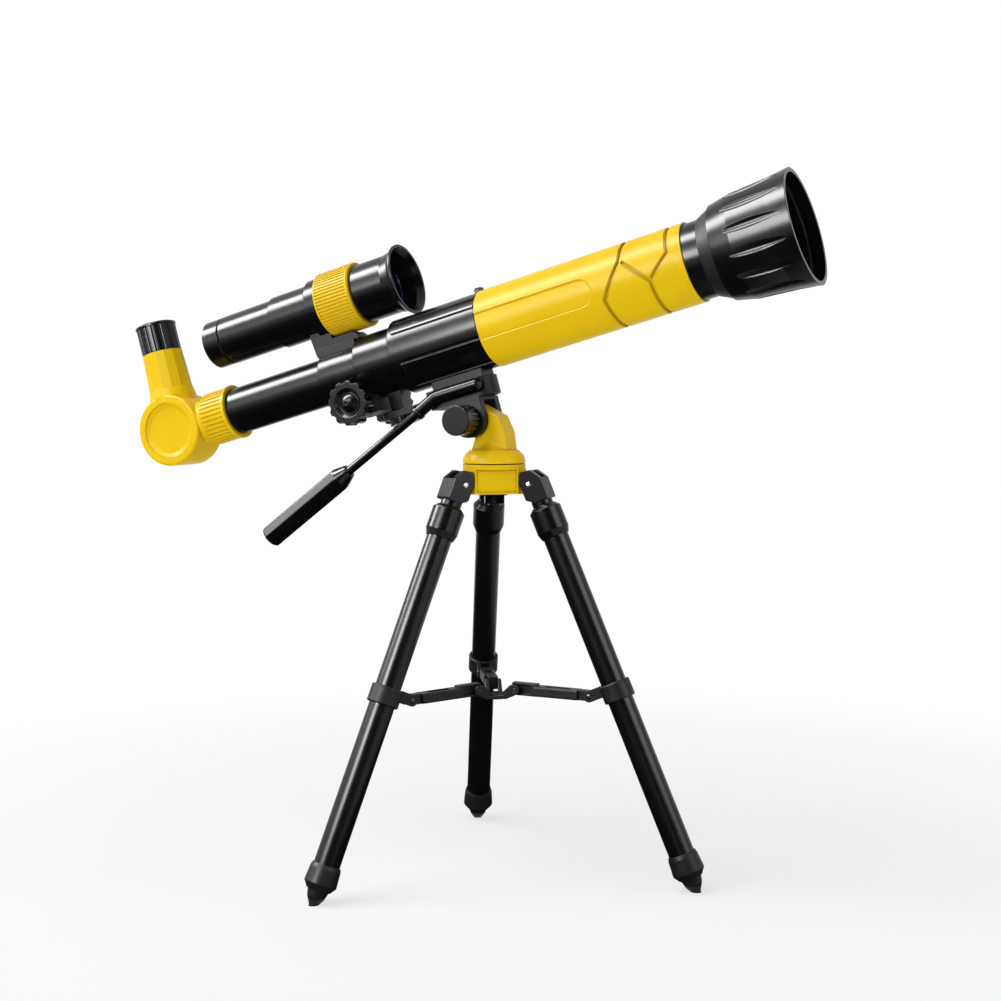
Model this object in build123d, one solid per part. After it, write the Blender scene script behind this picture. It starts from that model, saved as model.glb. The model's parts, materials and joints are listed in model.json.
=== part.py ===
from build123d import *
from math import acos, atan2, cos, degrees, hypot, pi, radians, sin, tan
import os

# A small telescope on a folding table tripod. Millimetres, +Z up, +X along the telescope's heading.
# The origin is on the ground under the pan axis. Stations along the tube are measured from the point
# of the optical axis that stands over the pan axis, positive towards the hood.

# Clearances
RUN = 0.05  # radial clearance of a shaft, pin or tube that turns or slides in its hole
SEAT = 0.02  # clearance between two pieces fixed to each other
SIDE_GAP = 0.3  # side clearance between two moving pieces
SKIN = 1.0  # how far a cutting tool reaches past the surface that it cuts

# Legs
LEG_AZIMUTHS = {"front": 0.0, "left": 120.0, "right": 240.0}
LEG_SPREAD = 23.27  # angle of an open leg from the vertical
LEG_FOLD = 15.0  # angle that a leg folds inwards
PIVOT_RADIUS = 25.5
PIVOT_HEIGHT = 240.0
PIVOT_PIN_R = 1.6
LEG_OFFSET = 1.6  # the tube's axis, outwards of the pivot
LEG_TUBE_R = 7.8
LEG_TUBE_WALL = 1.0

# Leg brackets, in the leg's frame: x outwards, z up along the leg, from the pivot
EAR_WIDTH = 6.4
EAR_R = 5.0
CHEEK_WALL = 3.2
CHEEK_IN = 5.3
CHEEK_OUT = 8.7
CHEEK_TOP = 9.0
CHEEK_BOTTOM = 12.0
CHEEK_ROUND = 2.4
WEB_WALL = 2.4
NECK_R = 6.4
SLEEVE_R = 9.9
SLEEVE_TOP = 15.0
SLEEVE_BOTTOM = 35.0
SLEEVE_SHOULDER = 2.4
SLEEVE_TAPER = 4.0
SLEEVE_LIP = 0.7

# Feet
FOOT_R = 9.8
FOOT_TAPER = 0.6  # how much slimmer the foot is at its top
FOOT_LENGTH = 24.0
FOOT_POINT = 9.0  # length of the pointed end
FOOT_CHAMFER = 3.6  # length of the slope above the point
FOOT_BULGE_R = 5.2  # radius half way down the point
FOOT_NECK_R = 6.4
FOOT_TIP_R = 2.6
FOOT_PLUG = 3.0  # solid floor under the tube's end

# Collars and spreader
COLLAR_STATION = 134.8  # along the leg from the pivot
COLLAR_R = 9.6
COLLAR_LENGTH = 11.0
COLLAR_PIN_RAISE = 2.7  # the collar's pin above the collar's middle
COLLAR_BAND = 0.6
COLLAR_PIN_REACH = 16.5  # the collar's pin, inwards of the tube's axis
COLLAR_PIN_R = 1.5
LUG_WALL = 2.4
LUG_R = 3.4
ARM_EYE_WIDTH = 5.0
ARM_WIDTH = 9.0
ARM_HEIGHT = 6.2
ARM_BAR_START = 8.0  # along the arm from the collar's pin
ARM_GROOVE = 1.2
HUB_PIN_RADIUS = 15.0
HUB_PIN_HEIGHT = 113.5
HUB_PIN_R = 1.1
TONGUE_WIDTH = 5.0
TONGUE_WALL = 1.2
TONGUE_WEB = 0.9  # middle of the tongue that its two slots leave
SLOT_CLEARANCE = 0.25
HUB_CHEEK_WALL = 2.2
HUB_CHEEK_R = 2.9
HUB_DISC_R = 9.6
HUB_DISC_THICK = 2.0
FOLD_STEPS = 40

# Tripod hub and pan head
HUB_R = 19.3
HUB_DROP = 6.0  # the hub's underside below the pivots
HUB_RISE_TOP = 12.0  # the hub's top above the pivots
HUB_FLANGE = 3.0
HUB_PANEL = 14.0  # distance from the pan axis to a flat panel
PANEL_RIB = 1.3
PANEL_RIB_OUT = 0.7
PAN_BOLT_R = 4.0
PAN_GAP = 0.6
PAN_BOSS_R = 10.0
PAN_BOSS_GAP = 0.05
PAN_RIM = 4.0
PAN_ROUND = 8.0
PAN_DOME_R = 15.0
PAN_DOME_RISE = 8.0
PAN_FLARE_EDGE = 0.9  # flat left on the dome outside the neck's flare
PAN_BOLT_DEPTH = 9.0  # how far the bolt reaches into the pan head
NUT_R = 6.8
NUT_THICK = 6.2
NUT_FLANGE_R = 8.0
NUT_FLANGE = 1.2

# Tilt head
TILT_X = -11.0
TILT_RISE = 26.4  # the tilt axis above the pan head's underside
TILT_KNUCKLE_R = 9.8
TILT_KNUCKLE_WIDTH = 15.6
TILT_KNUCKLE_GAP = 0.5
LUG_LEAN = 27.0  # slope of the lug's ridge
LUG_RIDGE = 14.0
LUG_SLOPE_OUT = 4.6
LUG_SLOPE_DOWN = 10.0
LUG_FRONT = 12.6
LUG_REAR = -13.5
LUG_WAIST = 1.8
LUG_ROUND = 1.8
CLEVIS_R = 10.9
CLEVIS_BACK = 5.8  # how far the cheeks reach behind the tilt axis at the plate
CLEVIS_WALL = 6.2
CLEVIS_BRIDGE = 2.2
TILT_BOLT_R = 2.5
TILT_KNOB_R = 9.2
TILT_KNOB_LENGTH = 17.0
TILT_KNOB_GAP = 0.4
TILT_KNOB_FLUTES = 18
TILT_KNOB_FLUTE_R = 0.9
TILT_NUT_R = 5.4
TILT_NUT_THICK = 4.0
TILT_BOLT_TAIL = 2.0

# Platform and handle, in the telescope's frame
PLATE_HEIGHT = 11.5
PLATE_HALF = 11.0
PLATE_FRONT = -7.0
PLATE_BREAK = -50.0  # where the thick plate steps to its rear tongue
PLATE_REAR = -86.0
PLATE_CORNER = 10.0
TONGUE_HALF = 8.0
TONGUE_TOP_DROP = 4.5  # the rear tongue's top below the plate's top
TONGUE_THICK = 4.2
PAD_THICK = 3.55  # at the middle
PAD_HALF = 8.5
PAD_INSET = 4.0  # the pad's ends inside the plate's ends
SCREW_STATION = -74.0
SCREW_R = 2.4
SCREW_HEAD_R = 9.5
SCREW_HEAD_THICK = 4.0
SCREW_FLUTES = 20
SCREW_FLUTE_R = 0.8
SCREW_DEPTH = 8.0
BODY_FOOT_LENGTH = 9.0
BODY_FOOT_HALF = 6.0
HANDLE_Y = -13.0
HANDLE_SOCKET_R = 4.0
HANDLE_ROD_R = 2.8
HANDLE_GRIP_R = 7.6
HANDLE_GRIP_SIDES = 8
HANDLE_GRIP_NECK = 9.0
HANDLE_BEND_R = 9.0
HANDLE_ROOT = (-15.0, -31.5)  # station and height of the handle's points
HANDLE_BEND = (-43.0, -31.5)
HANDLE_STEP = (-58.5, -38.2)
HANDLE_GRIP_START = (-114.4, -60.0)
HANDLE_GRIP_END = (-181.9, -86.3)
HANDLE_GRIP_EDGE = 0.8
ROD_INSERT = 10.0

# Telescope
TUBE_PITCH = 15.44
TILT_STATION = -25.5
TUBE_R = 24.0
TUBE_WALL = 2.0
TUBE_REAR = -1.0
TUBE_FRONT = 133.5
LABEL_END = 75.0
LABEL_HALF = 8.0
LABEL_DEPTH = 0.9
GROOVE_WIDTH = 1.5
GROOVE_DEPTH = 1.3
LABEL_EDGE = 0.7  # chamfer round the label panel
GROOVE_LIP = 0.7  # how far a groove's shallow lip reaches past it on each side
LIP_DEPTH = 0.5
GROOVE_FRONT_V = [(124.7, 26.0), (125.4, 7.0), (111.6, -5.5), (97.0, 9.5)]
GROOVE_LEG = [(111.6, -5.5), (112.0, -26.0)]
GROOVE_REAR_V = [(97.6, 26.0), (95.4, 11.0), (82.0, -8.3), (84.0, -26.0)]

# Main body
BODY_R = 23.5
BODY_FRONT = -1.2
BODY_REAR = -63.0
STEP_R = 20.5
STEP_REAR = -90.0
NOSE_R = 17.4
NOSE_REAR = -118.0
SPIGOT_LENGTH = 18.0
CAVITY_R = 20.0
CAVITY_REAR = -60.0
EDGE = 0.8  # chamfer on the body's steps
PANEL_TOP = -8.0
PANEL_REAR = -55.5
PANEL_DEPTH = 1.0
LINE_RAISE = 1.8  # the line over the panel, above the panel's top
LINE_WIDTH = 0.9
LINE_DEPTH = 0.8
RAIL_ANGLES = (34.0, 52.0)  # rails on each side, up from the horizontal
RAIL_WIDTH = 1.8
RAIL_RISE = 1.0
RAIL_INSET = 4.0
NUB_LENGTH = 3.4
NUB_HALF = 4.0
NUB_RISE = 2.8

# Objective and hood
FRONT_RING_R = 22.9
FRONT_RING_END = 143.2
LENS_R = 20.0
LENS_REAR = 136.0
LENS_THICK = 4.0
LENS_BULGE = 1.6
LENS_LIP = 1.5
FRONT_SPIGOT = 12.0
COLLAR_CONE_R = 27.6
HOOD_COLLAR_END = 151.6
HOOD_BORE = 26.0
HOOD_R = 28.6
HOOD_MID = 164.0
HOOD_MID_R = 31.2
HOOD_FLARE = 188.0
HOOD_FLARE_R = 33.0
HOOD_RIM = 200.6
HOOD_RIM_R = 34.6
HOOD_WALL = 2.0
HOOD_LIP_R = 32.0
HOOD_LIP_LENGTH = 8.0
HOOD_FLUTES = 14
FLUTE_REAR = 149.0
FLUTE_FRONT = 203.0
FLUTE_R = 3.4
FLUTE_DEPTH = 1.5

# Focuser
DRAWTUBE_R = 15.0
DRAWTUBE_WALL = 1.5
DRAWTUBE_FRONT = -44.0
DRAWTUBE_REAR = -197.0
FOCUS_STATION = -94.0
MODULE = 0.8
PINION_TEETH = 10
TOOTH_THICK = 0.92  # at the pitch line, less than half the pitch for backlash
TOOTH_ADDENDUM = 0.72
TOOTH_DEDENDUM = 0.95
TOOTH_FLANK = 20.0
RACK_BASE = 1.2
RACK_WIDTH = 5.0
RACK_SLOT_GAP = 0.35
RACK_TEETH = 21
PINION_WIDTH = 4.6
PINION_GAP = 0.7
FOCUS_SHAFT_R = 2.0
COVER_HALF_LENGTH = 11.0
COVER_HALF_WIDTH = 10.0
COVER_FLOOR = 2.2
KNOB_R = 14.0
KNOB_LENGTH = 10.0
KNOB_LOBES = 12
KNOB_LOBE_R = 2.4
KNOB_LOBE_CENTRE = 14.6
KNOB_DOME_R = 6.2
KNOB_DOME_RISE = 3.0
KNOB_DISH = 2.4
KNOB_HUB_R = 4.5
KNOB_GAP = 0.9

# Diagonal and eyepiece
DIAGONAL_STATION = -238.0
DRUM_R = 23.5
DRUM_HALF = 15.0
DRUM_ROUND = 2.0
COVER_R = 18.0
COVER_STEP_R = 15.2
COVER_INSET = 0.6
COVER_THICK = 2.4
COVER_DISH = 1.4
MIRROR_CAVITY_R = 16.5
MIRROR_LENGTH = 27.0
MIRROR_WIDTH = 20.0
MIRROR_THICK = 2.0
NECK_ELBOW_R = 14.2
ELBOW_R = 15.4
ELBOW_HEIGHT = 27.5
ELBOW_FLARE = 5.0
LIGHT_BORE = 9.0
DIAGONAL_COLLAR_FRONT = -191.0
DIAGONAL_COLLAR_REAR = -211.0
DIAGONAL_COLLAR_R = 17.2
COLLAR_LIP = 2.4
COLLAR_LIP_R = 17.7
COLLAR_RIBS = 36
COLLAR_RIB_R = 0.5
SOCKET_BASE_R = 14.4
SOCKET_TOP_R = 13.4
SOCKET_TOP = 53.0
SOCKET_FACETS = 14
EYEPIECE_BARREL_R = 10.4
EYEPIECE_BARREL_LENGTH = 24.0
EYEPIECE_R = 13.0
EYEPIECE_TOP = 72.4
EYEPIECE_CAP = 1.6
EYEPIECE_CAP_R = 13.5
EYEPIECE_FLUTES = 16
EYEPIECE_FLUTE_R = 1.5
EYEPIECE_FLUTE_DEPTH = 0.5
EYE_HOLE_R = 7.0
EYE_LENS_R = 8.5
EYE_LENS_THICK = 3.0
EYE_LENS_DEPTH = 3.0
EYEPIECE_GAP = 0.2

# Finder, on an axis of its own above the tube's axis
FINDER_HEIGHT = 46.2
FINDER_REAR_R = 15.6
FINDER_REAR = -183.6
FINDER_MID = -142.6
FINDER_MID_R = 16.8
FINDER_BAND = -114.5
FINDER_BAND_R = 19.0
FINDER_RING_REAR = -106.0
FINDER_RING_FRONT = -80.2
FINDER_RING_R = 21.0
FINDER_RING_RIBS = 60
FINDER_RING_RIB_R = 0.5
FINDER_RING_LIP = 1.6
FINDER_SLEEVE_R = 15.6
FINDER_SLEEVE_FRONT = -68.0
FINDER_BORE = 13.2
FINDER_TUBE_R = 18.5
FINDER_TUBE_REAR = -79.8
FINDER_FLARE = -58.0
FINDER_FLARE_MID = -52.0
FINDER_FLARE_MID_R = 20.0
FINDER_MOUTH = -48.3
FINDER_MOUTH_R = 22.3
FINDER_TUBE_WALL = 1.6
FINDER_LENS_REAR = -65.0
FINDER_LENS_THICK = 3.0
EYECUP_REAR = -196.1
EYECUP_R = 15.4
EYECUP_HOLE_R = 9.0
EYECUP_SPIGOT = 6.0
EYECUP_WALL = 1.6
FINDER_EYE_LENS_THICK = 2.5
BRACKET_HALF = 7.0
BRACKET_REAR = -121.5
BRACKET_FRONT = -88.5
BRACKET_STEP_GAP = 0.6
BRACKET_FLANGE = 2.4
BRACKET_FLANGE_HALF = 10.0

# Worked out from the values above: legs and spreader
spread = radians(LEG_SPREAD)
CHEEK_INNER = EAR_WIDTH / 2 + SIDE_GAP
CHEEK_OUTER = CHEEK_INNER + CHEEK_WALL
LEG_REACH = (PIVOT_HEIGHT + LEG_OFFSET * sin(spread)) / cos(spread)
COLLAR_PIN_X = LEG_OFFSET - COLLAR_PIN_REACH
COLLAR_PIN_DOWN = COLLAR_STATION - COLLAR_PIN_RAISE
LUG_INNER = ARM_EYE_WIDTH / 2 + SIDE_GAP
LUG_OUTER = LUG_INNER + LUG_WALL
PIN_R0 = PIVOT_RADIUS + COLLAR_PIN_X * cos(spread) + COLLAR_PIN_DOWN * sin(spread)
PIN_Z0 = PIVOT_HEIGHT + COLLAR_PIN_X * sin(spread) - COLLAR_PIN_DOWN * cos(spread)
PIN_ARM = hypot(PIN_R0 - PIVOT_RADIUS, PIVOT_HEIGHT - PIN_Z0)
PIN_ANGLE = atan2(PIN_R0 - PIVOT_RADIUS, PIVOT_HEIGHT - PIN_Z0)
ARM_LENGTH = hypot(PIN_R0 - HUB_PIN_RADIUS, HUB_PIN_HEIGHT - PIN_Z0)
ARM_SLOPE = degrees(atan2(HUB_PIN_HEIGHT - PIN_Z0, PIN_R0 - HUB_PIN_RADIUS))
PIN_R1 = PIVOT_RADIUS + PIN_ARM * sin(PIN_ANGLE - radians(LEG_FOLD))
PIN_Z1 = PIVOT_HEIGHT - PIN_ARM * cos(PIN_ANGLE - radians(LEG_FOLD))
ARM_FOLD = degrees(acos((PIN_R1 - HUB_PIN_RADIUS) / ARM_LENGTH)) - ARM_SLOPE
SPREADER_RISE = PIN_Z1 + ARM_LENGTH * sin(radians(ARM_SLOPE + ARM_FOLD)) - HUB_PIN_HEIGHT

# Worked out: hub, pan head and tilt head
HUB_BOTTOM = PIVOT_HEIGHT - HUB_DROP
HUB_TOP = PIVOT_HEIGHT + HUB_RISE_TOP
PAN_BASE = HUB_TOP + PAN_GAP
TILT_Z = PAN_BASE + TILT_RISE
CLEVIS_INNER = TILT_KNUCKLE_WIDTH / 2 + SIDE_GAP
CLEVIS_OUTER = CLEVIS_INNER + CLEVIS_WALL

# Worked out: the telescope's frame and the platform in it
pitch = radians(TUBE_PITCH)
CLEVIS_TOP_ABOVE_TILT = TILT_KNUCKLE_R + TILT_KNUCKLE_GAP + CLEVIS_BRIDGE
TILT_H = -(BODY_R + PAD_THICK + PLATE_HEIGHT + CLEVIS_TOP_ABOVE_TILT)
AXIS_X = TILT_X - TILT_STATION * cos(pitch) + TILT_H * sin(pitch)
AXIS_Z = TILT_Z - TILT_STATION * sin(pitch) - TILT_H * cos(pitch)
PLATE_BOTTOM = TILT_H + CLEVIS_TOP_ABOVE_TILT
PLATE_TOP = PLATE_BOTTOM + PLATE_HEIGHT
TONGUE_TOP = PLATE_TOP - TONGUE_TOP_DROP
TONGUE_BOTTOM = TONGUE_TOP - TONGUE_THICK
PAD_FRONT = PLATE_FRONT - PAD_INSET
PAD_REAR = PLATE_BREAK + PAD_INSET

# Worked out: tubes and focuser
SPIGOT_R = TUBE_R - TUBE_WALL - SEAT
SPIGOT_END = TUBE_REAR + SPIGOT_LENGTH
GUIDE_R = DRAWTUBE_R + RUN
PINION_R = MODULE * PINION_TEETH / 2
RACK_ROOT = -(DRAWTUBE_R + RACK_BASE)
RACK_PITCH_LINE = RACK_ROOT - TOOTH_DEDENDUM
FOCUS_H = RACK_PITCH_LINE - PINION_R
TOOTH_PITCH = pi * MODULE
COVER_BOTTOM = FOCUS_H - PINION_R - TOOTH_ADDENDUM - PINION_GAP - COVER_FLOOR
KNOB_INNER = STEP_R + KNOB_GAP

TELESCOPE = Location((AXIS_X, 0, AXIS_Z), (0, -TUBE_PITCH, 0))
FINDER = TELESCOPE * Pos(0, 0, FINDER_HEIGHT)


# Helpers

def turned(points):
    """Solid of revolution about X from (station, radius) points."""
    outline = Polyline(*[(station, 0, radius) for station, radius in points], close=True)
    return revolve(make_face(outline), axis=Axis.X)


def turned_z(points):
    """Solid of revolution about Z from (radius, height) points."""
    outline = Polyline(*[(radius, 0, height) for radius, height in points], close=True)
    return revolve(make_face(outline), axis=Axis.Z)


def slab(points, y_low, y_high):
    """Flat piece from (x, z) points, between two places along Y."""
    outline = Polyline(*[(x, y_low, z) for x, z in points], close=True)
    return extrude(make_face(outline), amount=y_high - y_low, dir=(0, 1, 0))


def rod_x(radius, start, end, y=0.0, z=0.0):
    return Pos((start + end) / 2, y, z) * Rot(0, 90, 0) * Cylinder(radius, end - start)


def rod_y(radius, start, end, x=0.0, z=0.0):
    return Pos(x, (start + end) / 2, z) * Rot(90, 0, 0) * Cylinder(radius, end - start)


def rod_z(radius, start, end, x=0.0, y=0.0):
    return Pos(x, y, (start + end) / 2) * Cylinder(radius, end - start)


def block(x_span, y_span, z_span):
    """Box between low and high values along each axis."""
    middle = [(low + high) / 2 for low, high in (x_span, y_span, z_span)]
    return Pos(*middle) * Box(*[high - low for low, high in (x_span, y_span, z_span)])


def around_x(tool, count):
    return [Rot(360.0 * i / count, 0, 0) * tool for i in range(count)]


def around_y(tool, count):
    return [Rot(0, 360.0 * i / count, 0) * tool for i in range(count)]


def around_z(tool, count):
    return [Rot(0, 0, 360.0 * i / count) * tool for i in range(count)]


def joined(pieces):
    """Union of a list of overlapping solids."""
    total = pieces[0]
    for piece in pieces[1:]:
        total = total + piece
    return total


def strip(start, end, width, y_low, y_high):
    """Round-ended strip between two (x, z) points, between two places along Y."""
    (x0, z0), (x1, z1) = start, end
    length = hypot(x1 - x0, z1 - z0)
    across = (-(z1 - z0) / length * width / 2, (x1 - x0) / length * width / 2)
    corners = [
        (x0 + across[0], z0 + across[1]),
        (x1 + across[0], z1 + across[1]),
        (x1 - across[0], z1 - across[1]),
        (x0 - across[0], z0 - across[1]),
    ]
    ends = [rod_y(width / 2, y_low, y_high, x, z) for x, z in (start, end)]
    return joined([slab(corners, y_low, y_high)] + ends)


def hexagon(across_corner_r, thick):
    return extrude(RegularPolygon(across_corner_r, 6), amount=thick)


# Legs

def leg_place(azimuth):
    """Frame of an open leg: the pivot, with x outwards and z up along the leg."""
    return Rot(0, 0, azimuth) * Location((PIVOT_RADIUS, 0, PIVOT_HEIGHT), (0, -LEG_SPREAD, 0))


def cheek_outline():
    return [
        (-CHEEK_IN, -CHEEK_BOTTOM + 3.0 * CHEEK_ROUND / 2),
        (-CHEEK_IN, EAR_R / 2),
        (-CHEEK_IN / 3, CHEEK_TOP),
        (CHEEK_OUT / 2, CHEEK_TOP - CHEEK_ROUND / 2),
        (CHEEK_OUT, EAR_R / 4),
        (CHEEK_OUT, -CHEEK_BOTTOM),
        (-CHEEK_IN + 2.0 * CHEEK_ROUND, -CHEEK_BOTTOM),
    ]


def leg_bracket():
    plate = slab(cheek_outline(), -CHEEK_OUTER, CHEEK_OUTER)
    plate = fillet(plate.edges().filter_by(Axis.Y), CHEEK_ROUND / 2)
    room = block(
        (-CHEEK_IN - SKIN, CHEEK_OUT - WEB_WALL),
        (-CHEEK_INNER, CHEEK_INNER),
        (-CHEEK_BOTTOM + WEB_WALL, CHEEK_TOP + SKIN),
    )
    over_ear = block(
        (-CHEEK_IN - SKIN, CHEEK_OUT + SKIN),
        (-CHEEK_INNER, CHEEK_INNER),
        (EAR_R / 4, CHEEK_TOP + SKIN),
    )
    neck = rod_z(NECK_R, -SLEEVE_TOP - SKIN, -CHEEK_BOTTOM + WEB_WALL / 2, LEG_OFFSET)
    sleeve = Pos(LEG_OFFSET, 0, 0) * turned_z([
        (0, -SLEEVE_TOP),
        (SLEEVE_R - SLEEVE_SHOULDER, -SLEEVE_TOP),
        (SLEEVE_R, -SLEEVE_TOP - SLEEVE_SHOULDER),
        (SLEEVE_R, -SLEEVE_BOTTOM + SLEEVE_TAPER),
        (LEG_TUBE_R + SLEEVE_LIP, -SLEEVE_BOTTOM),
        (0, -SLEEVE_BOTTOM),
    ])
    bore = rod_z(LEG_TUBE_R + SEAT, -SLEEVE_BOTTOM - SKIN, -SLEEVE_TOP - SLEEVE_SHOULDER, LEG_OFFSET)
    pin_hole = rod_y(PIVOT_PIN_R + RUN, -CHEEK_OUTER - SKIN, CHEEK_OUTER + SKIN)
    return plate - room - over_ear + neck + sleeve - bore - pin_hole


def leg_tube():
    start = -SLEEVE_TOP - SLEEVE_SHOULDER - SEAT
    end = -LEG_REACH + FOOT_POINT + FOOT_PLUG
    tube = rod_z(LEG_TUBE_R, end, start, LEG_OFFSET)
    return tube - rod_z(LEG_TUBE_R - LEG_TUBE_WALL, end - SKIN, start + SKIN, LEG_OFFSET)


def foot_cap(azimuth):
    """Round cap with a pointed end, cut flat where it stands on the ground."""
    top = -LEG_REACH + FOOT_LENGTH
    floor = -LEG_REACH + FOOT_POINT + FOOT_PLUG - SEAT
    shape = turned_z([
        (0, top),
        (LEG_TUBE_R + SLEEVE_LIP, top),
        (FOOT_R - FOOT_TAPER, top - SLEEVE_SHOULDER),
        (FOOT_R, -LEG_REACH + FOOT_POINT + FOOT_CHAMFER),
        (FOOT_NECK_R + EDGE, -LEG_REACH + FOOT_POINT),
        (FOOT_NECK_R, -LEG_REACH + FOOT_POINT),
        (FOOT_BULGE_R, -LEG_REACH + FOOT_POINT / 2),
        (FOOT_TIP_R, -LEG_REACH),
        (FOOT_TIP_R, -LEG_REACH - FOOT_TIP_R),
        (0, -LEG_REACH - FOOT_TIP_R),
    ])
    hole = rod_z(LEG_TUBE_R + SEAT, floor, top + SKIN)
    cap = leg_place(azimuth) * (Pos(LEG_OFFSET, 0, 0) * (shape - hole))
    ground = Pos(0, 0, -PIVOT_HEIGHT / 2) * Box(4 * LEG_REACH, 4 * LEG_REACH, PIVOT_HEIGHT)
    return cap - ground


def leg_collar():
    low = -COLLAR_STATION - COLLAR_LENGTH / 2
    high = -COLLAR_STATION + COLLAR_LENGTH / 2
    ring = Pos(LEG_OFFSET, 0, 0) * turned_z([
        (LEG_TUBE_R + SEAT, low),
        (COLLAR_R - COLLAR_BAND, low),
        (COLLAR_R, low + COLLAR_BAND),
        (COLLAR_R, high - COLLAR_BAND),
        (COLLAR_R - COLLAR_BAND, high),
        (LEG_TUBE_R + SEAT, high),
    ])
    root = LEG_OFFSET - LEG_TUBE_R - SEAT
    lugs = []
    for side in (-1, 1):
        y_low, y_high = sorted((side * LUG_INNER, side * LUG_OUTER))
        bar = block(
            (COLLAR_PIN_X, root), (y_low, y_high), (-COLLAR_PIN_DOWN - LUG_R, -COLLAR_PIN_DOWN + LUG_R)
        )
        lugs.append(bar + rod_y(LUG_R, y_low, y_high, COLLAR_PIN_X, -COLLAR_PIN_DOWN))
    tube = rod_z(LEG_TUBE_R + SEAT, low - SKIN, high + SKIN, LEG_OFFSET)
    pin = rod_y(COLLAR_PIN_R + SEAT, -LUG_OUTER - SKIN, LUG_OUTER + SKIN, COLLAR_PIN_X, -COLLAR_PIN_DOWN)
    return joined([ring] + lugs) - tube - pin


def collar_pin():
    return rod_y(COLLAR_PIN_R, -LUG_OUTER, LUG_OUTER, COLLAR_PIN_X, -COLLAR_PIN_DOWN)


# Spreader

def pin_in_arm(share):
    """Place of the spreader hub's pin along and across an arm at a share of the fold."""
    swing = PIN_ANGLE - radians(LEG_FOLD) * share
    run = PIVOT_RADIUS + PIN_ARM * sin(swing) - HUB_PIN_RADIUS
    rise = HUB_PIN_HEIGHT + SPREADER_RISE * share - PIVOT_HEIGHT + PIN_ARM * cos(swing)
    slope = radians(ARM_SLOPE + ARM_FOLD * share)
    return run * cos(slope) + rise * sin(slope), rise * cos(slope) - run * sin(slope)


PIN_PLACES = [pin_in_arm(step / FOLD_STEPS) for step in range(FOLD_STEPS + 1)]
SLOT_START = min(along for along, across in PIN_PLACES)
SLOT_END = max(along for along, across in PIN_PLACES)
SLOT_LOW = min(across for along, across in PIN_PLACES)
SLOT_HIGH = max(across for along, across in PIN_PLACES)
SLOT_MARGIN = HUB_PIN_R + SLOT_CLEARANCE
TONGUE_LOW = SLOT_LOW - SLOT_MARGIN - TONGUE_WALL
TONGUE_HIGH = SLOT_HIGH + SLOT_MARGIN + TONGUE_WALL


def tongue_over_disc(share):
    """Lowest height over the hub's pins that a tongue reaches above the hub's disc."""
    slope = radians(ARM_SLOPE + ARM_FOLD * share)
    below = TONGUE_LOW - pin_in_arm(share)[1]
    along = (HUB_PIN_RADIUS - HUB_DISC_R + below * sin(slope)) / cos(slope)
    return along * sin(slope) + below * cos(slope)


TONGUE_FLOOR = min(tongue_over_disc(step / FOLD_STEPS) for step in range(FOLD_STEPS + 1))
HUB_FLOOR = TONGUE_FLOOR - 2 * SIDE_GAP  # the disc's top, from the hub's pins


def spreader_arm():
    """Arm in its own frame: x from the collar's pin to the hub, with a slot on each side for the hub's pins."""
    bar_end = SLOT_START - SLOT_MARGIN - HUB_CHEEK_R
    bar = block((ARM_BAR_START, bar_end), (-ARM_WIDTH / 2, ARM_WIDTH / 2), (-ARM_HEIGHT / 2, ARM_HEIGHT / 2))
    bar = fillet(bar.edges().filter_by(Axis.X), ARM_HEIGHT / 6)
    groove = block(
        (ARM_BAR_START + ARM_HEIGHT, bar_end - ARM_HEIGHT),
        (-ARM_WIDTH / 4, ARM_WIDTH / 4),
        (ARM_HEIGHT / 2 - ARM_GROOVE, ARM_HEIGHT / 2 + SKIN),
    )
    eye = rod_y(LUG_R - SIDE_GAP, -ARM_EYE_WIDTH / 2, ARM_EYE_WIDTH / 2)
    neck = block(
        (0, ARM_BAR_START + SKIN),
        (-ARM_EYE_WIDTH / 2, ARM_EYE_WIDTH / 2),
        (SIDE_GAP - LUG_R, LUG_R - SIDE_GAP),
    )
    tongue = block(
        (bar_end - SKIN, SLOT_END + SLOT_MARGIN + TONGUE_WALL),
        (-TONGUE_WIDTH / 2, TONGUE_WIDTH / 2),
        (TONGUE_LOW, TONGUE_HIGH),
    )
    slots = [
        block(
            (SLOT_START - SLOT_MARGIN, SLOT_END + SLOT_MARGIN),
            sorted((side * TONGUE_WEB / 2, side * TONGUE_WIDTH)),
            (SLOT_LOW - SLOT_MARGIN, SLOT_HIGH + SLOT_MARGIN),
        )
        for side in (-1, 1)
    ]
    hole = rod_y(COLLAR_PIN_R + RUN, -ARM_WIDTH, ARM_WIDTH)
    return bar - groove + eye + neck + tongue - slots - hole


def arm_place(azimuth):
    at_pin = Rot(0, 0, azimuth) * Location((PIN_R0, 0, PIN_Z0), (0, 0, 180))
    return at_pin * Rot(0, -ARM_SLOPE, 0)


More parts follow.
